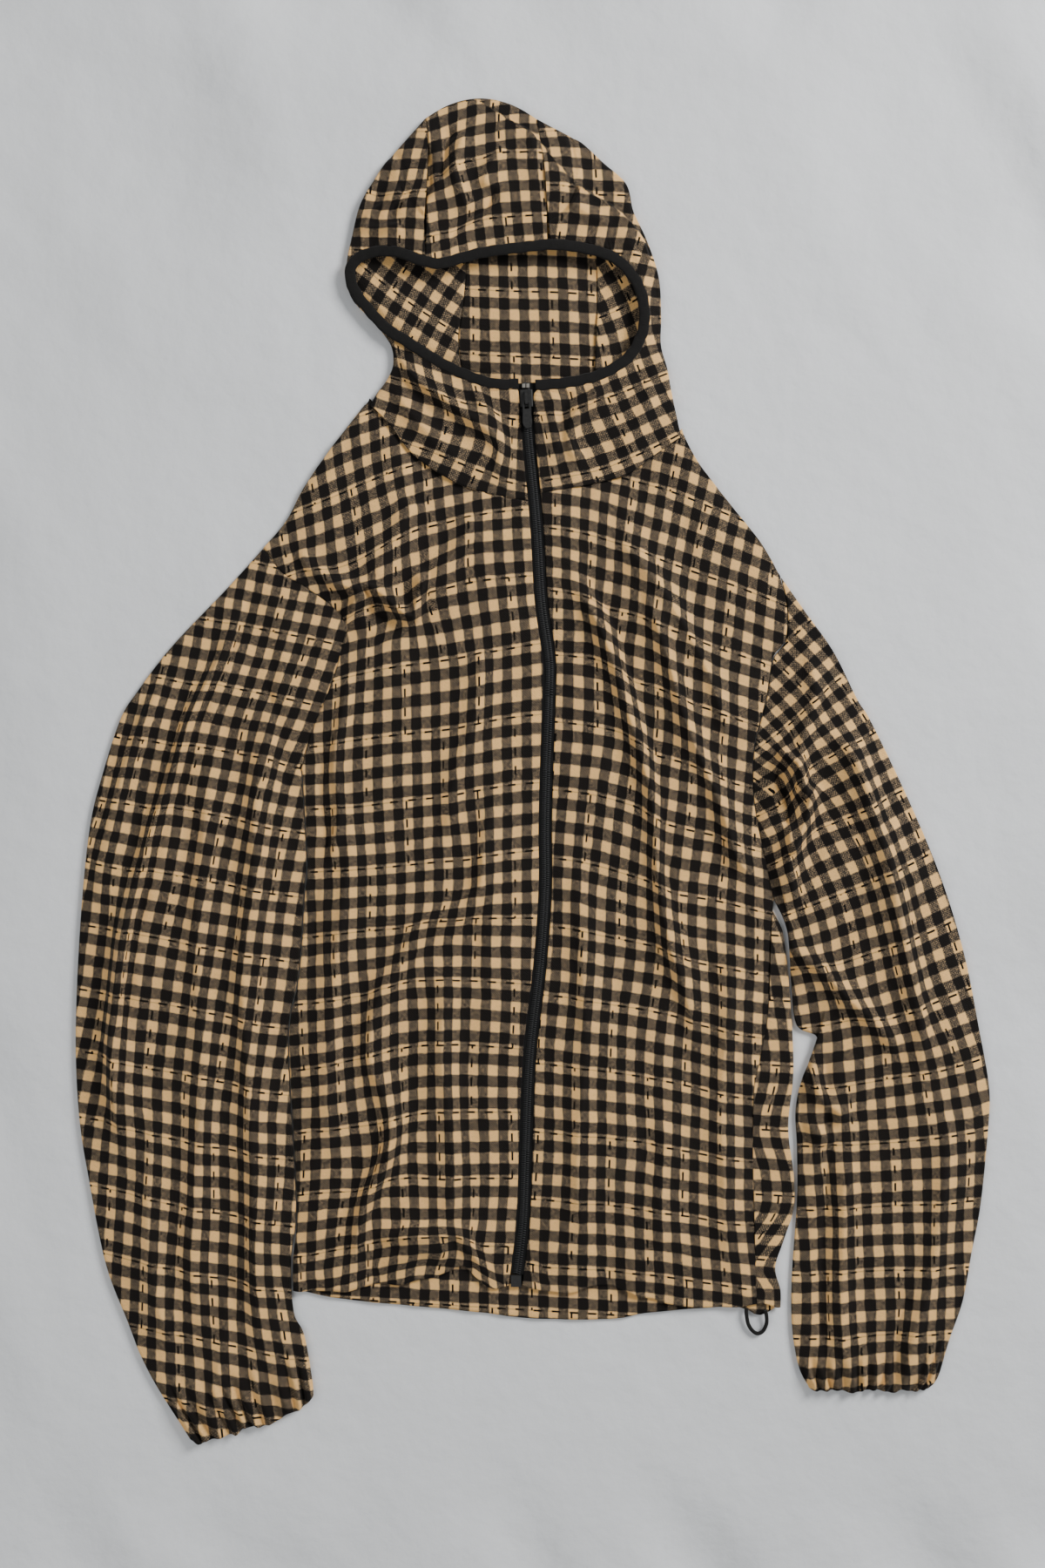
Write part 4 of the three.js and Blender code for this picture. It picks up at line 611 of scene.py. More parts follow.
zip_line = along(ZIP_LINE)
ZIP_SHARES = np.linspace(0, 1, 2001)
ZIP_YS = zip_line(ZIP_SHARES)[:, 1]


def zip_share(y):
    """How far along the zip, as a share, the given Y lies."""
    return np.interp(-np.asarray(y, float), -ZIP_YS, ZIP_SHARES)


def over_tape(y):
    return zip_line(zip_share(y))[..., 2] + TAPE_THICK + GAP + WALL / 2


def binding_at(share):
    """The binding's middle line, by the share of its stations passed."""
    return station_values(BINDING_LINE, np.asarray(share, float) * (len(BINDING_LINE) - 1))


def grid_shares(rows, cols):
    """s and t of every point of a grid."""
    return np.meshgrid(np.linspace(0, 1, cols), np.linspace(0, 1, rows))


def raised(plan, z):
    return np.concatenate([plan, z[..., None]], axis=-1)


def round_turn(above, below, edge, steps):
    """Points round a folded edge, from the upper layer's last point to the lower layer's first."""
    middle = (above + below) / 2
    out = edge - middle
    out[..., 2] = 0
    up = above - middle
    angles = np.linspace(0, np.pi, steps + 2)[1:-1]
    return [middle + np.cos(a) * up + np.sin(a) * out for a in angles]


# Each panel below gives its grid of points and its cloth coordinates
LEFT_EDGE_PARTS = (along(ARMHOLE_LEFT), along(UNDERARM_LEFT), beside(along(SIDE_LEFT), 0.8))


def left_body_edge(arm, underarm):
    a, b, c = LEFT_EDGE_PARTS
    return joined((a, arm), (b, underarm), (c, 1))


def right_body_edge(arm):
    return joined((along(ARMHOLE_RIGHT), arm), (along(SIDE_SEAM_RIGHT), 1))


def front_panel(side):
    """The left or right front, from the zip outwards and from the neck to the hem."""
    neck, shoulder = (NECK_LEFT, SHOULDER_LEFT) if side < 0 else (NECK_RIGHT, SHOULDER_RIGHT)
    name = "front_left" if side < 0 else "front_right"
    seed = SEEDS[name]
    neck = neck + np.linspace(0, 1, len(neck))[:, None] ** 3 * (shoulder[0] - neck[-1])
    neck[1:, 1] += NECK_UNDER
    s, t = grid_shares(*FRONT_GRID)
    top = joined((along(neck), NECK_PART[side]), (along(shoulder), 1))
    hem = turned_round(along(HEM_LEFT)) if side < 0 else along(HEM_RIGHT)
    inner_line = beside(trimmed(zip_line, zip_share(neck[0, 1]), 1), side * FRONT_EDGE)
    inner = lambda share: inner_line(mix(share, share * share, 0.25))
    outer = left_body_edge(FRONT_ARM, FRONT_UNDERARM) if side < 0 else right_body_edge(FRONT_ARM)
    plan = patch(top, hem, inner, outer, s, t)
    plan[..., 1] += ease((t - 0.97) / 0.03) * 1.5 * uneven(plan[..., 0], 0 * s, 13, seed + 12)
    x, y = plan[..., 0], plan[..., 1]
    width = np.hypot(*(outer(t)[..., :2] - inner(t)[..., :2]).transpose(2, 0, 1))
    from_zip = ease((s - 0.06) / 0.24)
    inside = ease((s - 0.02) / 0.18) * ease((1 - s) / 0.12) * ease((1 - t) / 0.05)
    flat = mix(over_tape(y), FRONT_REST, from_zip)
    rise = inside * (FRONT_LOFT * ease(t / 0.08) + relief(name, BODY_FOLDS, x, y, seed))
    casing = falling((1 - t) * FRONT_LENGTH - CASING_UP, CASING_WIDTH)
    waves = 1.2 * np.sin(s * HEM_WAVES * np.pi + 2 * uneven(x, y, 40, seed)) + 0.8
    hem_wave = ease((t - 0.93) / 0.06) * waves
    lowest = mix(over_tape(y), FRONT_REST - 0.5, from_zip)
    z = np.maximum(flat + rise + (hem_wave - CASING_DIP * casing) * from_zip, lowest)
    z += ease(s / 0.1) * crumple(x, y, seed)
    z += puckers((1 - s) * width, y, seed + 3) + puckers(t * FRONT_LENGTH, x, seed + 4)
    z += puckers(s * width, y, seed + 6, 0.35, 6, 17)
    z -= STITCH_DIP * falling(s * width - STITCH_FROM_EDGE, STITCH_WIDTH)
    z -= EDGE_DIP * falling(s * width, EDGE_WIDTH)
    z -= SEAM_DIP * (falling((1 - s) * width, SEAM_WIDTH) + falling(t * FRONT_LENGTH, SEAM_WIDTH))
    return raised(plan, z), lay_weave(name, x, y, BODY_FOLDS, seed)


def back_panel():
    """The back: flat on the surface, its right side curled round to the front."""
    rows, strip = 230, 30
    t = np.linspace(0, 1, rows)
    edge = right_body_edge(BACK_ARM)(t)
    turned = along(SIDE_FOLD_RIGHT)(np.clip((t - BACK_ARMPIT) / (1 - BACK_ARMPIT), 0, 1))
    curl = ease((t - BACK_ARMPIT) / 0.06)[:, None, None]
    wrap = np.maximum(turned[:, 0] - edge[:, 0], 0)
    column = lambda x, y, z: np.stack([x, y, np.full(rows, float(z))], -1)
    flat = np.stack([column(edge[:, 0] - inset, edge[:, 1], FLOOR_MID) for inset in BACK_STRIP], 1)
    folded = np.stack([
        column(turned[:, 0] - TURN, turned[:, 1], FLOOR_MID),
        column(turned[:, 0], turned[:, 1], (FLOOR_MID + FRONT_REST) / 2),
        column(turned[:, 0] - np.minimum(TURN, wrap * 0.4), turned[:, 1], FRONT_REST),
        column(mix(turned[:, 0], edge[:, 0], 0.7), edge[:, 1], FRONT_REST),
        column(edge[:, 0], edge[:, 1], FRONT_REST)], 1)
    keys = mix(flat, folded, curl)
    side_strip = station_values(keys.transpose(1, 0, 2).reshape(5, -1), np.linspace(0, 4, strip))
    side_strip = side_strip.reshape(strip, rows, 3).transpose(1, 0, 2)
    s2, t2 = np.meshgrid(np.linspace(0, 1, 60)[:-1], t)
    top = joined(
        (turned_round(along(SHOULDER_LEFT)), 0.3), (along(NAPE), 0.72),
        (trimmed(along(SHOULDER_RIGHT), 0, 0.965), 1))
    right = lambda share: np.stack([np.interp(share, t, side_strip[:, 0, k]) for k in (0, 1)], -1)
    hem = trimmed(along(HEM_BACK), 0, 0.992)
    plan = patch(top, hem, left_body_edge(BACK_ARM, BACK_UNDERARM), right, s2, t2)
    flat_part = raised(plan, FLOOR_MID + under_creases(plan[..., 0], plan[..., 1], s2, t2, 15))
    points = np.concatenate([flat_part, side_strip], axis=1)
    low = ease((t - 0.975) / 0.02)[:, None]
    x, y = points[..., 0], points[..., 1]
    points[..., 2] += low * 0.5 * (1 + np.sin(x / 5.1 + 2 * uneven(x, y, 30, 9)))
    fold_x = np.interp(-y, -turned[:, 1], turned[:, 0])
    over = (points[..., 2] > (FLOOR_MID + FRONT_REST) / 2) & (x > 150)
    u = np.where(over, 2 * fold_x - x, x)
    points[..., 2] += np.where(over, crumple(x, y, 12) * 0.8 + 0.5, 0)
    return points, np.stack([u, y + 0.06 * x], axis=-1)


def sleeve_panel(side):
    """A sleeve: a flattened tube, upper layer, turn, lower layer and turn."""
    left = side < 0
    name, folds = ("sleeve_left", SLEEVE_LEFT_FOLDS) if left else ("sleeve_right", SLEEVE_RIGHT_FOLDS)
    seed = SEEDS[name]
    rows, upper_cols, lower_cols, turn_steps = 280, 78, 22, 4
    armhole = along(ARMHOLE_LEFT if left else ARMHOLE_RIGHT)
    cuff = along(CUFF_LEFT if left else CUFF_RIGHT)
    outer = along(SLEEVE_LEFT_OUTER if left else SLEEVE_RIGHT_OUTER)
    inner = (joined((along(UNDERARM_LEFT), SLEEVE_UNDERARM), (along(SLEEVE_LEFT_INNER), 1)) if left
             else along(SLEEVE_RIGHT_INNER))
    place = lambda s, t: patch(armhole, cuff, outer, inner, s, t)
    t = np.linspace(0, 1, rows)
    from_edge = place(np.zeros(rows), t)
    to_edge = place(np.ones(rows), t)
    width = np.hypot(*(to_edge - from_edge).T)
    inset = (TURN / width)[:, None]
    f, tt = grid_shares(rows, upper_cols)
    plan = place(mix(inset, 1 - inset, f), tt)
    x, y = plan[..., 0], plan[..., 1]
    edge_fade = fade(f, 0.16, 0.16)
    inside = edge_fade * fade(tt, 0.06, 0.04)
    gathers = ease((tt - 0.915) / 0.06) * (
        2.5 * np.sin(f * CUFF_GATHERS * np.pi + 2.4 * uneven(f * 100, tt * 30, 16, seed)) + 1.6)
    gathers *= fade(f, 0.05, 0.05)
    rise = inside * (SLEEVE_LOFT + relief(name, folds, x, y, seed)) + gathers
    plan[..., 1] += ease((tt - 0.95) / 0.05) * (2.3 * uneven(f * width[:, None], 0 * f, 7, seed + 11) - 0.4)
    z = np.maximum(SLEEVE_REST + rise, SECOND_MID)
    z += edge_fade * crumple(x, y, seed)
    down = tt * SLEEVE_LENGTH
    z += puckers(down, f * width[:, None], seed + 3) - SEAM_DIP * falling(down, SEAM_WIDTH)
    top_layer = raised(plan, z)
    g, tl = grid_shares(rows, lower_cols)
    low_plan = place(mix(1 - inset, inset, g), tl)
    low_creases = under_creases(low_plan[..., 0], low_plan[..., 1], g, tl, seed + 20)
    low_layer = raised(low_plan, FLOOR_MID + low_creases)
    inward = WALL / 2 / TURN

    def turn(edge, above, below):
        out = raised(mix(edge, above[:, :2], inward), (above[:, 2] + FLOOR_MID) / 2)
        return round_turn(above, below, out, turn_steps)
    near = turn(to_edge, top_layer[:, -1], low_layer[:, 0])
    far = turn(from_edge, top_layer[:, 0], low_layer[:, -1])[::-1]
    columns = [top_layer, np.stack(near, 1), low_layer, np.stack(far, 1)]
    whole = np.concatenate(columns, axis=1)
    return whole, lay_weave(name, whole[..., 0], whole[..., 1], folds, seed)


STEP_POINTS = along(HOOD_STEP)(np.linspace(0, 1, FOLD_STEPS + 1))[:, :2]


def step_height(x, y):
    """The upper layer's step on the right of the hood: raised inside the line, low beyond it."""
    distance, side, share = nearest_on(STEP_POINTS, x, y)
    profile = np.where(side > 0, 1 - ease(distance / STEP_WIDTH), np.exp(-distance / 20))
    return STEP_LIFT * fade(share, 0.2, 0.15) * profile


def beyond_step(x, y):
    """1 for points on the far side of the hood's step, where the cloth comes out from under it."""
    _, side, share = nearest_on(STEP_POINTS, x, y)
    return np.where((side > 0) & (share < 1), 1.0, 0.0)


def face_edge(row, side):
    """A side panel's edge: beside the binding or tucked under it, or beside the zip."""
    rim, tuck, zip_y = row[RIM_AT], row[TUCK], row[ZIP_Y]
    if zip_y:
        at = beside(zip_line, side * FRONT_EDGE)(zip_share(zip_y))
        return at[0], zip_y, over_tape(zip_y) + 0.1
    at = beside(binding_at, mix(RIM - OVERLAP, TUCKED, ease((tuck - 0.5) * 2)))(rim / (len(BINDING_LINE) - 1))
    return at[0], at[1], at[2] - (2 * BINDING_THICK_HALF + GAP) * ease(tuck * 2)


def hood_side_panel(side):
    """One side of the hood, from the face edge or zip, round the side fold, to its seam."""
    table_rows = HOOD_LEFT_ROWS if side < 0 else HOOD_RIGHT_ROWS
    neck = along(NECK_LEFT if side < 0 else NECK_RIGHT)
    edges = np.array([face_edge(row, side) for row in table_rows])
    placed = np.concatenate([table_rows, edges], axis=1)
    count, upper_cols, lower_cols = 200, 44, 34
    row = station_values(placed, np.linspace(0, len(table_rows) - 1, count))
    seam = station_values(HOOD_SEAMS, row[:, SEAM_AT])
    left_x, left_y, right_x, right_y, height, _ = seam.T
    seam_plan = (left_x, left_y) if side < 0 else (right_x, right_y)
    end = np.stack([*seam_plan, np.maximum(height, FLOOR_MID)], -1)
    rim = row[:, EDGE:]
    middle = np.maximum((row[:, FOLD_TOP] + row[:, FOLD_LOW]) / 2, FLOOR_MID)
    turned = np.stack([row[:, FOLD_X], row[:, FOLD_Y], middle], -1)

    def towards(goal, z):
        run = np.hypot(goal[:, 0] - turned[:, 0], goal[:, 1] - turned[:, 1])
        share = (np.minimum(TURN, run * 0.4) / run)[:, None]
        return np.concatenate([mix(turned[:, :2], goal[:, :2], share), z[:, None]], axis=1)
    above = towards(rim, row[:, FOLD_TOP])
    below = towards(end, np.maximum(row[:, FOLD_LOW], FLOOR_MID))
    f = np.linspace(0, 1, upper_cols)[None, :, None]
    upper = mix(rim[:, None], above[:, None], f)
    sewn = neck(f[0, :, 0]) - mix(neck(0.0), neck(1.0), f[0])
    upper[..., :2] += row[:, NECK_TAKEN][:, None, None] * sewn[None]
    inside = fade(f[..., 0], 0.3, 0.2)
    x, y = upper[..., 0], upper[..., 1]
    step = step_height(x, y) if side > 0 else 0
    names = ("hood_left", "inside_left") if side < 0 else ("hood_right", "inside_right")
    seed = SEEDS[names[0]]
    upper[..., 2] += inside * (relief(names[0], HOOD_FOLDS, x, y, seed) + step + crumple(x, y, seed))
    round_rim = np.linspace(0, HOOD_ROUND, count)[:, None] + 0 * x
    upper[..., 2] += puckers(f[..., 0] * HOOD_REACH, round_rim, seed + 4, 0.6, 9, 12)
    g = np.linspace(0, 1, lower_cols)[None, :, None]
    lower = mix(below[:, None], end[:, None], g)
    lower[..., 2] = np.maximum(lower[..., 2], FLOOR_MID)
    lx, ly = lower[..., 0], lower[..., 1]
    lower[..., 2] += 1.4 * (1 + uneven(lx, ly, 24, seed + 7)) * ease(g[..., 0] / 0.2)
    turn = np.stack(round_turn(above, below, turned, 4), 1)
    whole = np.concatenate([upper, turn, lower], axis=1)
    weave = lay_weave(names[0], whole[..., 0], whole[..., 1], HOOD_FOLDS, seed)
    if side > 0:
        weave += beyond_step(whole[..., 0], whole[..., 1])[..., None] * STEP_SHIFT
    inner = (np.linspace(0, len(table_rows) - 1, count) > CROWN_ROWS)[:, None, None]
    weave[:, -lower_cols:] = np.where(inner, lay_weave(names[1], lx, ly, None, seed), weave[:, -lower_cols:])
    return whole, weave


def hood_centre_panel():
    """The strip over the crown, from the binding at the forehead to the nape."""
    s, t = grid_shares(*HOOD_CENTRE_GRID)
    station = t * (len(HOOD_SEAMS) - 1)
    left_x, left_y, right_x, right_y, height, bowed = np.moveaxis(station_values(HOOD_SEAMS, station), -1, 0)
    x = mix(left_x, right_x, s)
    bow = 4 * s * (1 - s)
    y = mix(left_y, right_y, s) + bowed * bow
    stations = np.linspace(12.5, 19, 400)
    forehead = station_values(BINDING_LINE, stations)
    first = (np.interp(x, forehead[:, 0], forehead[:, 1]) + RIM - OVERLAP
             - mix(HOOD_SEAMS[0, 1], HOOD_SEAMS[0, 3], s) - HOOD_SEAMS[0, 5] * bow)
    upper = ease(station / 1.5) * ease((6 - station) / 2.5)
    shown = ease((6.4 - station) / 0.8)
    seed = SEEDS["hood_centre"]
    raised_by = relief("hood_centre", HOOD_FOLDS, x, y, seed) + step_height(x, y) * ease((1 - s) / 0.1)
    z = height + upper * raised_by
    y = y + first * (1 - ease(station / 1.6))
    z = np.maximum(z, FLOOR_MID) + 0.8 * upper * crumple(x, y, seed)
    z += (1 - shown) * 1.3 * (1 + uneven(x, 0.6 * y, 24, seed + 3)) * fade(s, 0.2, 0.2)
    plan = np.stack([x, y], -1)
    top = lay_weave("hood_centre", x, y, HOOD_FOLDS, seed) + beyond_step(x, y)[..., None] * STEP_SHIFT
    low = lay_weave("inside_centre", x, y, None, seed + 1)
    return raised(plan, z), np.where((station < 6)[..., None], top, low)


def shell_object(name, grid, cloth, thick, ring=False):
    """A thin closed shell on both sides of a grid of points, with its cloth coordinates in metres."""
    rows, cols = grid.shape[:2]
    if ring:
        across = np.roll(grid, -1, axis=1) - np.roll(grid, 1, axis=1)
    else:
        across = np.gradient(grid, axis=1)
    normal = np.cross(np.gradient(grid, axis=0), across)
    normal /= np.linalg.norm(normal, axis=-1, keepdims=True) + 1e-12
    rim = np.zeros((rows, cols), bool)
    rim[0], rim[-1] = True, True
    if not ring:
        rim[:, 0], rim[:, -1] = True, True
    level = rim & (np.abs(normal[..., 2]) > 0.5)
    normal[level] = np.sign(normal[level][:, 2])[:, None] * (0, 0, 1)
    sides = [grid + 0.5 * thick * normal, grid - 0.5 * thick * normal]
    verts = in_metres(np.stack(sides))
    verts[:, 2] = np.maximum(verts[:, 2], 0.0)
    i, j = np.meshgrid(np.arange(rows - 1), np.arange(cols if ring else cols - 1), indexing="ij")
    k = (j + 1) % cols
    a, b, c, d = i * cols + j, (i + 1) * cols + j, (i + 1) * cols + k, i * cols + k
    under = rows * cols
    faces = [np.stack([a, b, c, d], -1).reshape(-1, 4), np.stack([a, d, c, b], -1).reshape(-1, 4) + under]
    j1 = np.arange(cols if ring else cols - 1)
    k1 = (j1 + 1) % cols
    last = (rows - 1) * cols
    faces.append(np.stack([j1, k1, k1 + under, j1 + under], -1))
    faces.append(np.stack([last + k1, last + j1, last + j1 + under, last + k1 + under], -1))
    if not ring:
        i1 = np.arange(rows - 1) * cols
        faces.append(np.stack([i1 + cols, i1, i1 + under, i1 + cols + under], -1))
        end = i1 + cols - 1
        faces.append(np.stack([end, end + cols, end + cols + under, end + under], -1))
    uv = np.tile(cloth.reshape(-1, 2), (2, 1)) * MM
    return mesh_object(name, verts, np.concatenate(faces).tolist(), uv)


def in_metres(points):
    return (points.reshape(-1, 3) - PLAN_CENTRE) * MM


def inside_out(mesh):
    """True if a closed mesh's faces enclose a negative volume."""
    mesh.calc_loop_triangles()
    points = np.empty(len(mesh.vertices) * 3)
    mesh.vertices.foreach_get("co", points)
    points = points.reshape(-1, 3)
    corners = np.empty(len(mesh.loop_triangles) * 3, dtype=np.int32)
    mesh.loop_triangles.foreach_get("vertices", corners)
    a, b, c = points[corners.reshape(-1, 3)].transpose(1, 0, 2)
    return float(np.sum(a * np.cross(b, c))) < 0


def mesh_object(name, verts, faces, uv):
    """A smooth closed object with its faces outwards and each point's place on the cloth, in metres."""
    mesh = bpy.data.meshes.new(name)
    mesh.from_pydata(verts.tolist(), [], faces)
    if inside_out(mesh):
        mesh.flip_normals()
    corner = np.empty(len(mesh.loops), dtype=np.int32)
    mesh.loops.foreach_get("vertex_index", corner)
    layer = mesh.uv_layers.new(name="cloth")
    layer.data.foreach_set("uv", uv[corner].ravel())
    mesh.shade_smooth()
    mesh.update()
    return linked(name, mesh)


def linked(name, mesh):
    piece = bpy.data.objects.new(name, mesh)
    bpy.context.collection.objects.link(piece)
    return piece


def tube_object(name, rings, around, centre):
    """A tube through rings of points, closed at its ends, with its place around and along as cloth."""
    count, sides = rings.shape[:2]
    i, j = np.meshgrid(np.arange(count - 1), np.arange(sides), indexing="ij")
    k = (j + 1) % sides
    faces = np.stack([i * sides + j, (i + 1) * sides + j, (i + 1) * sides + k, i * sides + k], -1)
    faces = faces.reshape(-1, 4).tolist()
    faces.append(list(range(sides)))
    faces.append(list(range(count * sides - 1, (count - 1) * sides - 1, -1)))
    shape = (count, sides)
    uv = np.stack([np.broadcast_to(around, shape), np.broadcast_to(run_length(centre)[:, None], shape)], -1)
    return mesh_object(name, in_metres(rings), faces, uv.reshape(-1, 2) * MM)


def swept_object(name, centre, section):
    """A bar along rows of x, y and z; the section's points are across and up."""
    run = np.gradient(centre[:, :2], axis=0)
    run /= np.linalg.norm(run, axis=1, keepdims=True)
    sideways = np.stack([run[:, 1], -run[:, 0]], -1)
    sides = section.shape[-2]
    section = np.broadcast_to(section, (len(centre), sides, 2))
    across = sideways[:, None, :] * section[..., :1]
    rings = centre[:, None, :] + np.concatenate([across, section[..., 1:]], axis=-1)
    return tube_object(name, rings, np.arange(sides) / sides * BAR_ROUND, centre)


def round_tube(name, centre, radius, sides):
    """A round tube along rows of x, y and z."""
    run = np.gradient(centre, axis=0)
    run /= np.linalg.norm(run, axis=1, keepdims=True)
    flat = np.cross(run, [0, 0, 1.0])
    flat /= np.linalg.norm(flat, axis=1, keepdims=True)
    up = np.cross(flat, run)
    angles = np.linspace(0, 2 * np.pi, sides, endpoint=False)
    across = np.cos(angles)[None, :, None] * flat[:, None]
    rings = centre[:, None] + radius * (across + np.sin(angles)[None, :, None] * up[:, None])
    return tube_object(name, rings, angles[None] * radius, centre)


class Finish:
    """A material with short ways to add and join its nodes."""

    def __init__(self, name):
        self.material = bpy.data.materials.new(name)
        self.material.use_nodes = True
        self.tree = self.material.node_tree
        self.shader = self.tree.nodes["Principled BSDF"]

    def node(self, kind, **values):
        node = self.tree.nodes.new(kind)
        for key, value in values.items():
            setattr(node, key, value)
        return node

    def put(self, value, socket):
        if hasattr(value, "links"):
            self.tree.links.new(value, socket)
        else:
            socket.default_value = value

    def math(self, operation, *values, clamp=False):
        node = self.node("ShaderNodeMath", operation=operation, use_clamp=clamp)
        for value, socket in zip(values, node.inputs):
            self.put(value, socket)
        return node.outputs[0]

    def mixed(self, share, first, second, blend="MIX"):
        node = self.node("ShaderNodeMix", data_type="RGBA", blend_type=blend)
        self.put(share, node.inputs[0])
        self.put(first, node.inputs[6])
        self.put(second, node.inputs[7])
        return node.outputs[2]

    def noise(self, vector, scale, detail=2.0, roughness=0.5):
        node = self.node("ShaderNodeTexNoise")
        self.put(vector, node.inputs["Vector"])
        node.inputs["Scale"].default_value = scale
        node.inputs["Detail"].default_value = detail
        node.inputs["Roughness"].default_value = roughness
        return node.outputs[0]

    def bump(self, height, distance, strength, normal=None):
        node = self.node("ShaderNodeBump")
        node.inputs["Strength"].default_value = strength
        node.inputs["Distance"].default_value = distance
        self.put(height, node.inputs["Height"])
        if normal is not None:
            self.put(normal, node.inputs["Normal"])
        return node.outputs[0]

    def tinted(self, colour, level):
        """A colour made darker or lighter by a level."""
        tone = self.node("ShaderNodeCombineColor")
        for socket in tone.inputs[:3]:
            self.put(level, socket)
        return self.mixed(1.0, colour, tone.outputs[0], "MULTIPLY")

    def surface(self, name, value):
        """Sets or joins an input of the shader."""
        self.put(value, self.shader.inputs[name])

    def cloth_uv(self):
        return self.node("ShaderNodeUVMap", uv_map="cloth").outputs[0]

    def stretched(self, vector, scale):
        node = self.node("ShaderNodeMapping")
        self.put(vector, node.inputs["Vector"])
        node.inputs["Scale"].default_value = scale
        return node.outputs[0]


def stripe(finish, coordinate, period, edge):
    """1 on the black half of each period, 0 on the tan half, with a soft edge."""
    turn = finish.math("FRACT", finish.math("DIVIDE", coordinate, period))
    away = finish.math("ABSOLUTE", finish.math("SUBTRACT", turn, 0.5))
    return finish.math("MULTIPLY_ADD", finish.math("SUBTRACT", 0.25, away), period / edge, 0.5, clamp=True)


def dashes(finish, across, run, spacing, offset, width, length, share):
    """1 on dashes of a running stitch: rows a spacing apart, dashes a length apart along them."""
    turn = finish.math("FRACT", finish.math("DIVIDE", finish.math("SUBTRACT", across, offset), spacing))
    away = finish.math("MULTIPLY", finish.math("ABSOLUTE", finish.math("SUBTRACT", turn, 0.5)), spacing)
    on_row = finish.math("LESS_THAN", away, width / 2)
    part = finish.math("FRACT", finish.math("DIVIDE", run, length))
    return finish.math("MULTIPLY", on_row, finish.math("LESS_THAN", part, share))


def checked_cotton(look):
    """Crinkled gingham: black and tan stripes both ways, heathered where they cross, with stitches."""
    done = bpy.data.materials.get("crinkled_gingham")
    if done:
        return done
    finish = Finish("crinkled_gingham")
    uv = finish.cloth_uv()
    waver = finish.noise(uv, 75.0, 2.0)
    fine = finish.noise(uv, 420.0, 2.0)
    parts = finish.node("ShaderNodeSeparateXYZ")
    finish.put(uv, parts.inputs[0])
    shift = finish.math("MULTIPLY_ADD", waver, 0.0020, -0.0010)
    fray = finish.math("MULTIPLY_ADD", fine, 0.0007, -0.00035)
    u = finish.math("ADD", finish.math("ADD", parts.outputs[0], shift), fray)
    v = finish.math("ADD", finish.math("SUBTRACT", parts.outputs[1], shift), fray)
    warp = stripe(finish, u, look.warp_period, look.edge)
    weft = stripe(finish, v, look.weft_period, look.edge)
    tan, black = tuple(look.tan), tuple(look.black)
    thread_u = finish.math("SINE", finish.math("MULTIPLY", u, 2 * math.pi / look.thread))
    thread_v = finish.math("SINE", finish.math("MULTIPLY", v, 2 * math.pi / look.thread))
    crossing = finish.math("MULTIPLY", thread_u, thread_v)
    slub_warp = finish.noise(finish.stretched(uv, (1300.0, 330.0, 1.0)), 1.0, 2.0)
    slub_weft = finish.noise(finish.stretched(uv, (330.0, 1300.0, 1.0)), 1.0, 2.0)
    slubs = finish.math("SUBTRACT", slub_warp, slub_weft)
    on_top = finish.math("MULTIPLY_ADD", crossing, 0.22, 0.5)
    on_top = finish.math("MULTIPLY_ADD", slubs, look.heather, on_top, clamp=True)
    woven = finish.node("ShaderNodeMix", data_type="FLOAT")
    finish.put(on_top, woven.inputs[0])
    finish.put(finish.math("SUBTRACT", 1.0, warp), woven.inputs[2])
    finish.put(finish.math("SUBTRACT", 1.0, weft), woven.inputs[3])
    paleness = finish.math("POWER", woven.outputs[0], look.mixed_depth)
    toned = finish.mixed(finish.math("POWER", paleness, 0.6), tuple(look.grey), tan)
    colour = finish.mixed(paleness, black, toned)
    wide = finish.noise(uv, 28.0, 3.0)
    grain = finish.noise(uv, 900.0, 2.0)
    shade = finish.math("MULTIPLY_ADD", wide, 0.28, 0.86)
    shade = finish.math("MULTIPLY", shade, finish.math("MULTIPLY_ADD", grain, 0.5, 0.75))
    colour = finish.tinted(colour, shade)
    row_spacing, line_spacing = 3 * look.weft_period, 4 * look.warp_period
    level_u, level_v = parts.outputs[0], parts.outputs[1]
    across = dashes(finish, level_v, level_u, row_spacing, 0.58 * look.weft_period, look.stitch_width,
                    look.stitch_spacing, look.stitch_share)
    pulled = dashes(finish, level_v, level_u, row_spacing, 0.58 * look.weft_period, look.stitch_width * 0.6,
                    look.stitch_spacing, 1.1)
    past_row = finish.math("SUBTRACT", level_v, 2.08 * look.weft_period)
    band = finish.math("FLOOR", finish.math("DIVIDE", past_row, row_spacing))
    odd = finish.math("ABSOLUTE", finish.math("MODULO", band, 2.0))
    moved = finish.math("MULTIPLY_ADD", odd, line_spacing / 2, level_u)
    down = dashes(finish, moved, level_v, line_spacing, -0.08 * look.warp_period, look.stitch_width,
                  look.stitch_spacing, look.stitch_share)
    stitches = finish.math("MAXIMUM", across, down)
    colour = finish.mixed(finish.math("MULTIPLY", pulled, 0.35), colour, tuple(look.stitch))
    colour = finish.mixed(stitches, colour, tuple(look.stitch))
    finish.surface("Base Color", colour)
    crinkle = finish.noise(finish.stretched(uv, (190.0, 260.0, 1.0)), 1.0, 3.0, 0.55)
    normal = finish.bump(crinkle, 0.0011, 0.55)
    weave = finish.math("ADD", finish.math("MULTIPLY", crossing, 0.5), slubs)
    normal = finish.bump(weave, 0.00022, 0.6, normal)
    normal = finish.bump(pulled, -0.00015, 0.3, normal)
    finish.surface("Normal", normal)
    finish.surface("Roughness", finish.math("MULTIPLY_ADD", grain, 0.12, 0.82))
    finish.surface("Specular IOR Level", 0.1)
    finish.surface("Sheen Weight", 0.04)
    finish.surface("Sheen Roughness", 0.5)
    return finish.material


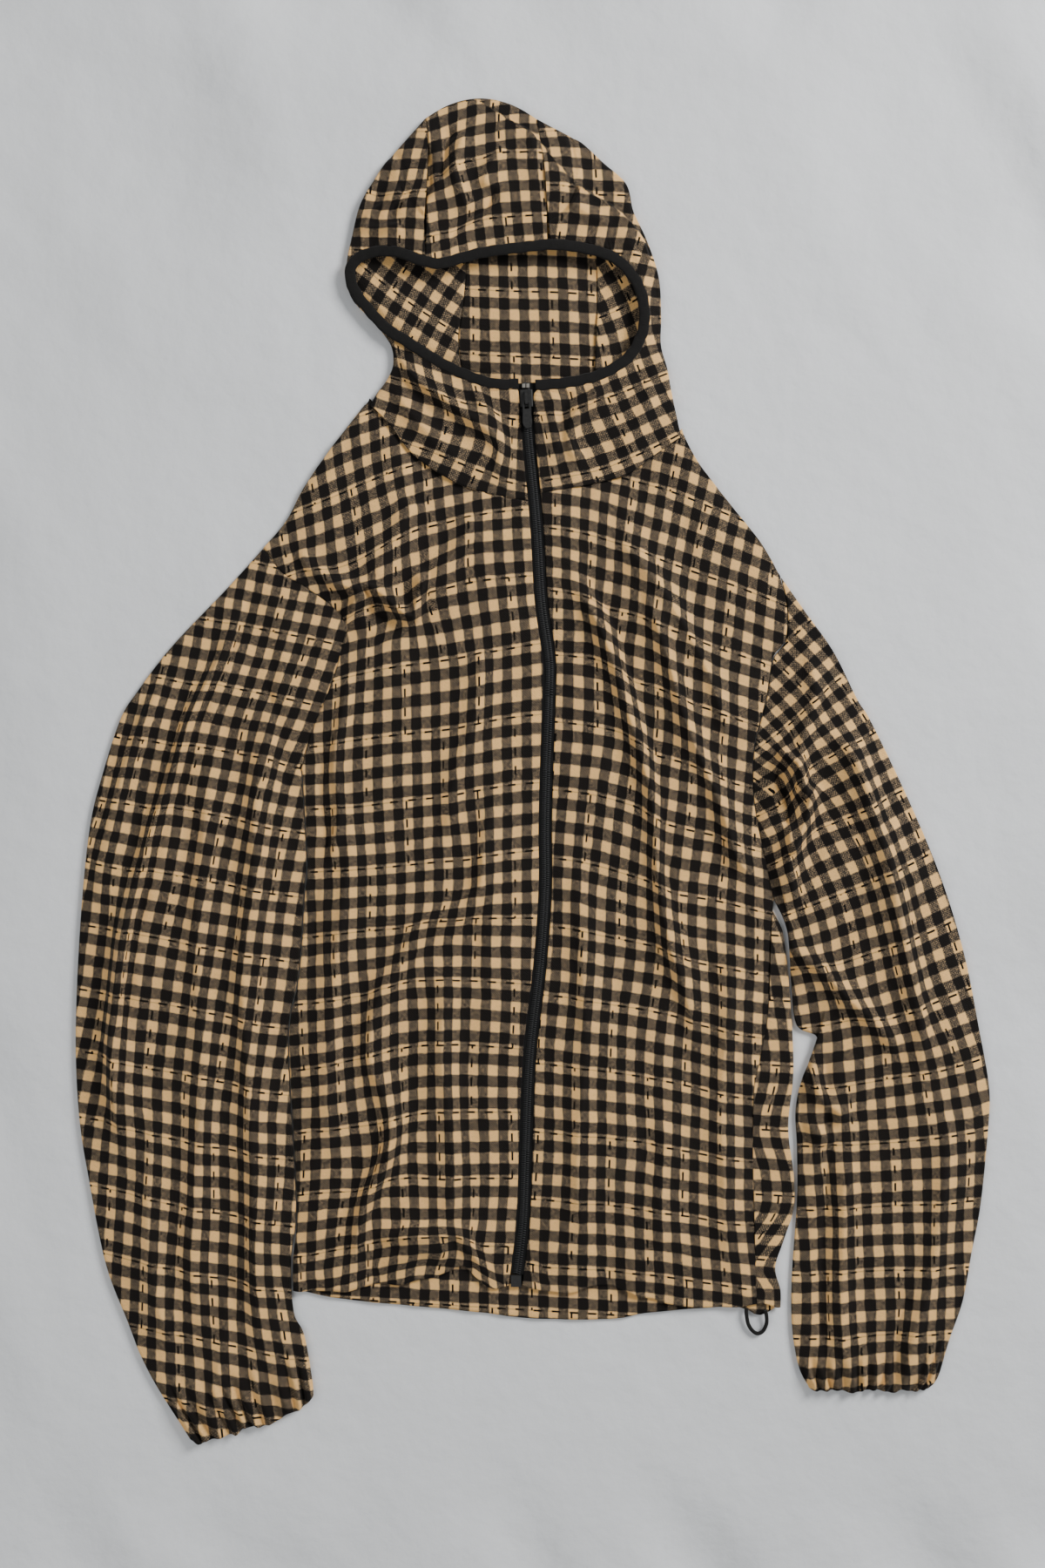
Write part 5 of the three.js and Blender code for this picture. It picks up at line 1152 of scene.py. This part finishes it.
def black_cotton(name, look, cross, lengthways, depth):
    """Black woven tape or binding, with fine ribs and a little dusty unevenness."""
    done = bpy.data.materials.get(name)
    if done:
        return done
    finish = Finish(name)
    uv = finish.cloth_uv()
    ribs = finish.noise(finish.stretched(uv, (cross, lengthways, 1.0)), 1.0, 2.0)
    place = finish.node("ShaderNodeTexCoord").outputs["Object"]
    dust = finish.noise(place, 260.0, 3.0)
    level = finish.math("MULTIPLY_ADD", finish.math("ADD", ribs, dust), 0.9, 0.1)
    finish.surface("Base Color", finish.tinted(tuple(look), level))
    normal = finish.bump(ribs, depth, 0.6)
    normal = finish.bump(finish.noise(place, 420.0, 2.0), 0.0004, 0.4, normal)
    finish.surface("Normal", normal)
    finish.surface("Roughness", 0.86)
    finish.surface("Specular IOR Level", 0.22)
    finish.surface("Sheen Weight", 0.08)
    return finish.material


def plain_finish(name, colour, roughness, metallic, worn):
    """Painted or plated metal or nylon, with fine scratches and worn high spots."""
    done = bpy.data.materials.get(name)
    if done:
        return done
    finish = Finish(name)
    place = finish.node("ShaderNodeTexCoord").outputs["Object"]
    scratches = finish.noise(finish.stretched(place, (900.0, 2400.0, 900.0)), 1.0, 3.0)
    patches = finish.noise(place, 500.0, 2.0)
    share = finish.math("MULTIPLY", scratches, patches)
    finish.surface("Base Color", finish.mixed(share, tuple(colour), tuple(worn)))
    finish.surface("Roughness", finish.math("MULTIPLY_ADD", scratches, 0.25, roughness - 0.12))
    finish.surface("Normal", finish.bump(scratches, 0.00006, 0.4))
    finish.surface("Metallic", metallic)
    return finish.material


def colour_property(name, description, default):
    return bpy.props.FloatVectorProperty(
        name=name, description=description, default=default, size=4, subtype="COLOR", min=0, max=1)


def length_property(name, description, default):
    return bpy.props.FloatProperty(name=name, description=description, default=default, unit="LENGTH", min=0)


class JacketCloth(bpy.types.PropertyGroup):
    """Sizes and colours of the checked cotton"""
    thickness: length_property("Thickness", "Thickness of one layer of cloth", 0.0007)
    warp_period: length_property("Warp period", "One black and one tan stripe along the jacket", 0.01528)
    weft_period: length_property("Weft period", "One black and one tan stripe across the jacket", 0.01668)
    edge: length_property("Stripe edge", "Softness of the stripes' edges", 0.0011)
    thread: length_property("Thread", "Distance over one raised and one sunk thread", 0.0018)
    heather: bpy.props.FloatProperty(
        name="Heather", description="How mixed the threads are where tan and black cross", default=0.75,
        min=0)
    mixed_depth: bpy.props.FloatProperty(
        name="Mixed depth", description="How dark the mixed squares are against the tan ones", default=2.9,
        min=0.1)
    tan: colour_property("Tan", "Tan yarn", (0.75, 0.445, 0.165, 1))
    grey: colour_property("Heather grey", "Cast of the mixed squares", (0.36, 0.33, 0.285, 1))
    black: colour_property("Black", "Black yarn", (0.0075, 0.006, 0.005, 1))
    stitch: colour_property("Running stitch", "Dark thread of the stitches", (0.004, 0.0035, 0.003, 1))
    stitch_width: length_property("Stitch width", "Width of a running stitch", 0.0015)
    stitch_spacing: length_property("Stitch spacing", "From one running stitch to the next", 0.014)
    stitch_share: bpy.props.FloatProperty(
        name="Stitch share", description="Part of the spacing that a stitch takes", default=0.46,
        min=0, max=1)


class JacketTrim(bpy.types.PropertyGroup):
    """Sizes and colours of the zip, binding and cord"""
    binding: colour_property("Binding", "Black cotton round the face opening", (0.0045, 0.004, 0.0035, 1))
    tape: colour_property("Zip tape", "Woven tape of the zip", (0.0035, 0.0035, 0.0035, 1))
    cord: colour_property("Hem cord", "Elastic cord at the hem", (0.008, 0.0075, 0.007, 1))
    coil: colour_property("Coil", "Nylon coil of the zip", (0.0045, 0.005, 0.0055, 1))
    slider: colour_property("Slider", "Painted slider and pull", (0.012, 0.012, 0.012, 1))
    stops: colour_property("Stops", "Metal stops at the top", (0.42, 0.39, 0.34, 1))
    tooth_pitch: length_property("Coil pitch", "From one turn of the coil to the next", 0.0016)


class JacketStage(bpy.types.PropertyGroup):
    """The surface, the light and the camera"""
    surface: colour_property("Surface", "Pale cotton sheet under the jacket", (0.70, 0.71, 0.72, 1))
    camera_height: length_property("Camera height", "Above the surface, looking straight down", 1.68)
    camera_x: bpy.props.FloatProperty(name="Camera X", description="Across", default=-0.0079, unit="LENGTH")
    camera_y: bpy.props.FloatProperty(name="Camera Y", description="Along", default=-0.0115, unit="LENGTH")
    light: bpy.props.FloatProperty(name="Light", description="Power of the main soft light, in watts",
                                   default=108.0, min=0)


def dressed(piece, material, slot, *nodes):
    """Gives a piece its finish and the body that it rides on, and hides the nodes that it stands for."""
    piece.data.materials.clear()
    piece.data.materials.append(material)
    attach(piece, "jacket")
    if nodes:
        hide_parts(*nodes)
    return piece


def cloth_piece(context, name, made, ring=False):
    """A shell of checked cotton that stands for the node of its name."""
    look = context.scene.jacket_cloth
    grid, cloth = made
    piece = shell_object("cloth_" + name, grid, cloth, look.thickness / MM, ring)
    dressed(piece, checked_cotton(look), "checked_cotton", name)
    return piece


class JACKET_OT_stage(bpy.types.Operator):
    """Lays the pale sheet and sets the soft lights and the camera"""
    bl_idname = "jacket.stage"
    bl_label = "Surface, light and camera"

    def execute(self, context):
        look = context.scene.jacket_stage
        side = np.linspace(-SURFACE_REACH, SURFACE_REACH, SURFACE_CELLS)
        x, y = np.meshgrid(side, side)
        rumple = 7 * uneven(x, y, 160, 7) + 1.2 * uneven(x, y, 33, 9)
        rumple += 9 * uneven(x + 0.5 * y, 0.25 * y, 60, 8)
        low, high = np.array(CAD_BOX[0]) / MM, np.array(CAD_BOX[1]) / MM
        beside_body = np.maximum(np.abs(x) - high[0], np.maximum(low[1] - y, y - SHOULDER_TOP))
        beside_hood = np.maximum(np.abs(x) - HOOD_HALF, np.maximum(-y, y - high[1]))
        outside = np.minimum(beside_body, beside_hood)
        z = SURFACE_TOP + ease(outside / 110) * (rumple - 3) - 1.2 * ease((outside + 250) / 250)
        z = np.minimum(z, SURFACE_TOP)
        mesh = bpy.data.meshes.new("surface")
        i, j = np.meshgrid(np.arange(len(side) - 1), np.arange(len(side) - 1), indexing="ij")
        a = i * len(side) + j
        faces = np.stack([a, a + 1, a + len(side) + 1, a + len(side)], -1).reshape(-1, 4)
        mesh.from_pydata((np.stack([x, y, z], -1).reshape(-1, 3) * MM).tolist(), [], faces.tolist())
        mesh.shade_smooth()
        floor = linked("floor", mesh)
        finish = Finish("pale_sheet")
        place = finish.node("ShaderNodeTexCoord").outputs["Object"]
        clouds = finish.noise(place, 9.0, 4.0)
        level = finish.math("MULTIPLY_ADD", clouds, 0.12, 0.94)
        finish.surface("Base Color", finish.tinted(tuple(look.surface), level))
        finish.surface("Normal", finish.bump(finish.noise(place, 34.0, 5.0), 0.004, 0.5))
        finish.surface("Roughness", 0.9)
        floor.data.materials.append(finish.material)
        self.add_light("main_light", *MAIN_LIGHT, look.light)
        self.add_light("fill_light", *FILL_LIGHT, look.light * FILL_SHARE)
        world = bpy.data.worlds.new("studio")
        world.use_nodes = True
        sky = world.node_tree.nodes["Background"]
        sky.inputs["Color"].default_value = SKY_COLOUR
        sky.inputs["Strength"].default_value = SKY_STRENGTH
        context.scene.world = world
        lens = bpy.data.cameras.new("camera")
        lens.lens = LENS_MM
        lens.sensor_width = SENSOR_MM
        camera = bpy.data.objects.new("camera", lens)
        camera.location = (look.camera_x, look.camera_y, look.camera_height)
        context.collection.objects.link(camera)
        context.scene.camera = camera
        return {"FINISHED"}

    def add_light(self, name, place, size, power):
        lamp = bpy.data.lights.new(name, "AREA")
        lamp.energy = power
        lamp.size = size
        light = bpy.data.objects.new(name, lamp)
        light.location = place
        bpy.context.collection.objects.link(light)
        light.rotation_euler = (-Vector(place)).to_track_quat("-Z", "Y").to_euler()


class JACKET_OT_hem_cord(bpy.types.Operator):
    """Makes the loop of elastic cord at the right of the hem"""
    bl_idname = "jacket.hem_cord"
    bl_label = "Hem cord"

    def execute(self, context):
        look = context.scene.jacket_trim
        centre = station_values(CORD_LINE, np.linspace(0, len(CORD_LINE) - 1, 65))
        tube = round_tube("elastic_cord", centre, CORD_DIAMETER / 2, CORD_SIDES)
        braid = black_cotton("cord_braid", look.cord, 1800.0, 1500.0, 0.0003)
        dressed(tube, braid, "elastic_cord", "hem_cord")
        return {"FINISHED"}


class JACKET_OT_body(bpy.types.Operator):
    """Makes the back and the two fronts"""
    bl_idname = "jacket.body"
    bl_label = "Back and fronts"

    def execute(self, context):
        cloth_piece(context, "back", back_panel())
        cloth_piece(context, "front_left", front_panel(-1))
        cloth_piece(context, "front_right", front_panel(1))
        return {"FINISHED"}


class JACKET_OT_sleeves(bpy.types.Operator):
    """Makes the two sleeves, flattened tubes with gathered cuffs"""
    bl_idname = "jacket.sleeves"
    bl_label = "Sleeves"

    def execute(self, context):
        cloth_piece(context, "sleeve_left", sleeve_panel(-1), ring=True)
        cloth_piece(context, "sleeve_right", sleeve_panel(1), ring=True)
        return {"FINISHED"}


class JACKET_OT_hood(bpy.types.Operator):
    """Makes the hood's two side panels and the strip over its crown"""
    bl_idname = "jacket.hood"
    bl_label = "Hood"

    def execute(self, context):
        cloth_piece(context, "hood_left", hood_side_panel(-1))
        cloth_piece(context, "hood_right", hood_side_panel(1))
        cloth_piece(context, "hood_centre", hood_centre_panel())
        return {"FINISHED"}


class JACKET_OT_binding(bpy.types.Operator):
    """Makes the black binding round the face opening"""
    bl_idname = "jacket.binding"
    bl_label = "Face binding"

    def execute(self, context):
        look = context.scene.jacket_trim
        count, n = 520, 20
        shares = np.linspace(0, 1, count)
        centre = binding_at(shares)
        length = run_length(centre)
        centre[:, 2] += 0.25 * uneven(length, 0 * length, 24, 3)
        angles = np.linspace(0, 2 * np.pi, n, endpoint=False)
        shape = np.stack([np.cos(angles), np.sin(angles)], -1)
        shape = np.sign(shape) * np.abs(shape) ** 0.75
        wave = 1 + 0.05 * np.sin(length / 2.1)[:, None] * np.cos(angles)[None]
        ribs = 0.14 * np.sin(length / 1.5)[:, None] * np.abs(shape[None, :, 0])
        sideways, up = BINDING_HALF * shape[None, :, 0] * wave, BINDING_THICK_HALF * shape[None, :, 1] + ribs
        section = np.stack([sideways, up], -1)
        binding = swept_object("binding", centre, section)
        dressed(binding, black_cotton("binding_cotton", look.binding, 700.0, 1500.0, 0.0004), "black_binding",
                "face_binding")
        return {"FINISHED"}


class JACKET_OT_zip_tapes(bpy.types.Operator):
    """Makes the two zip tapes and the closed coil"""
    bl_idname = "jacket.zip_tapes"
    bl_label = "Zip tapes and coil"

    def execute(self, context):
        look = context.scene.jacket_trim
        end = zip_share(PIN_Y + 5)
        material = black_cotton("tape_weave", look.tape, 2600.0, 900.0, 0.0002)
        centre = zip_line(np.linspace(0, end, 280))
        for side, name in ((1, "left"), (-1, "right")):
            section = np.array([
                (TAPE_SPLIT, 0), (TAPE_WIDTH, 0), (TAPE_WIDTH, TAPE_THICK), (CHAIN_HALF + 0.6, TAPE_THICK),
                (CHAIN_HALF - 0.2, TAPE_THICK + CHAIN_RAISED), (TAPE_SPLIT, TAPE_THICK + CHAIN_RAISED),
            ]) * (side, 1)
            tape = swept_object("tape_" + name, centre, section)
            dressed(tape, material, "black_tape", "zip_tape_" + name)
        self.add_coil(look, end)
        return {"FINISHED"}

    def add_coil(self, look, end):
        """One turn of the coil is modelled, then copied down both sides of the zip."""
        bpy.ops.object.select_all(action="DESELECT")
        bpy.ops.mesh.primitive_cylinder_add(vertices=6, radius=0.5, depth=1, rotation=(0, math.pi / 2, 0))
        turn = bpy.context.active_object
        turn.scale = (0.95, 1.0, 1.0)
        bpy.ops.object.transform_apply(location=False, rotation=True, scale=True)
        shape = np.array([vertex.co[:] for vertex in turn.data.vertices])
        loops = [list(face.vertices) for face in turn.data.polygons]
        bpy.data.objects.remove(turn)
        pitch = look.tooth_pitch / MM
        count = int(run_length(zip_line(np.linspace(0, end, 400)))[-1] / pitch)
        verts, faces = [], []
        for side in (-1, 1):
            shares = (np.arange(count) + (0.5 if side > 0 else 0.0)) / count * end
            here = zip_line(shares)
            run = (zip_line(np.minimum(shares + NEAR, 1)) - zip_line(np.maximum(shares - NEAR, 0)))[:, :2]
            run /= np.linalg.norm(run, axis=1, keepdims=True)
            for point, way in zip(here, run):
                across = np.array([way[1], -way[0], 0]) * -side
                lengthways = np.array([way[0], way[1], 0])
                base = len(verts)
                middle = point + across * COIL_ACROSS + np.array([0, 0, TAPE_THICK + COIL_UP])
                for px, py, pz in shape:
                    tilt = COIL_LEAN * px
                    place = middle + across * (px * COIL_REACH) + lengthways * (py * COIL_WIDTH + tilt)
                    place = place + np.array([0, 0, pz * COIL_HEIGHT - COIL_SAG * px * px])
                    verts.append(tuple((place - PLAN_CENTRE) * MM))
                faces.extend([base + v for v in loop] for loop in loops)
        mesh = bpy.data.meshes.new("zip_coil")
        mesh.from_pydata(verts, [], faces)
        mesh.shade_smooth()
        coil = linked("zip_coil", mesh)
        dressed(coil, plain_finish("coil_nylon", look.coil, 0.5, 0.0, (0.008, 0.008, 0.008, 1)), "black_tape")


class JACKET_OT_zip_fittings(bpy.types.Operator):
    """Gives the slider, pull, stops and pin box their finish and rounded edges"""
    bl_idname = "jacket.zip_fittings"
    bl_label = "Zip slider, pull and stops"

    def execute(self, context):
        look = context.scene.jacket_trim
        painted = plain_finish("slider_paint", look.slider, 0.38, 0.35, (0.05, 0.048, 0.045, 1))
        plated = plain_finish("stop_plating", look.stops, 0.4, 0.9, (0.2, 0.19, 0.17, 1))
        for name in ("zip_slider", "zip_crown", "zip_pull", "zip_pin_box", "zip_stop_left", "zip_stop_right"):
            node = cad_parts[name]
            node.data.materials.clear()
            node.data.materials.append(plated if "stop" in name else painted)
            bevel = node.modifiers.new("edges", "BEVEL")
            bevel.width = 0.25 * MM
            bevel.segments = 2
        return {"FINISHED"}


class JACKET_PT_pieces(bpy.types.Panel):
    """Lists the jacket's pieces in the order in which they are made"""
    bl_idname = "JACKET_PT_pieces"
    bl_label = "Jacket"
    bl_space_type = "VIEW_3D"
    bl_region_type = "UI"
    bl_category = "Jacket"

    def draw(self, context):
        for operator in OPERATORS:
            self.layout.operator(operator.bl_idname)
        for settings in (context.scene.jacket_cloth, context.scene.jacket_trim, context.scene.jacket_stage):
            box = self.layout.box()
            for key in settings.bl_rna.properties.keys():
                if key not in ("rna_type", "name"):
                    box.prop(settings, key)


OPERATORS = (
    JACKET_OT_stage, JACKET_OT_hem_cord, JACKET_OT_body, JACKET_OT_sleeves, JACKET_OT_hood,
    JACKET_OT_binding, JACKET_OT_zip_tapes, JACKET_OT_zip_fittings)
CLASSES = (JacketCloth, JacketTrim, JacketStage, *OPERATORS, JACKET_PT_pieces)


def register():
    for each in CLASSES:
        bpy.utils.register_class(each)
    bpy.types.Scene.jacket_cloth = bpy.props.PointerProperty(type=JacketCloth)
    bpy.types.Scene.jacket_trim = bpy.props.PointerProperty(type=JacketTrim)
    bpy.types.Scene.jacket_stage = bpy.props.PointerProperty(type=JacketStage)


def unregister():
    del bpy.types.Scene.jacket_stage
    del bpy.types.Scene.jacket_trim
    del bpy.types.Scene.jacket_cloth
    for each in reversed(CLASSES):
        bpy.utils.unregister_class(each)


def main():
    register()
    bpy.ops.jacket.stage()
    bpy.ops.jacket.hem_cord()
    bpy.ops.jacket.body()
    bpy.ops.jacket.sleeves()
    bpy.ops.jacket.hood()
    bpy.ops.jacket.binding()
    bpy.ops.jacket.zip_tapes()
    bpy.ops.jacket.zip_fittings()


if __name__ == "__main__":
    main()
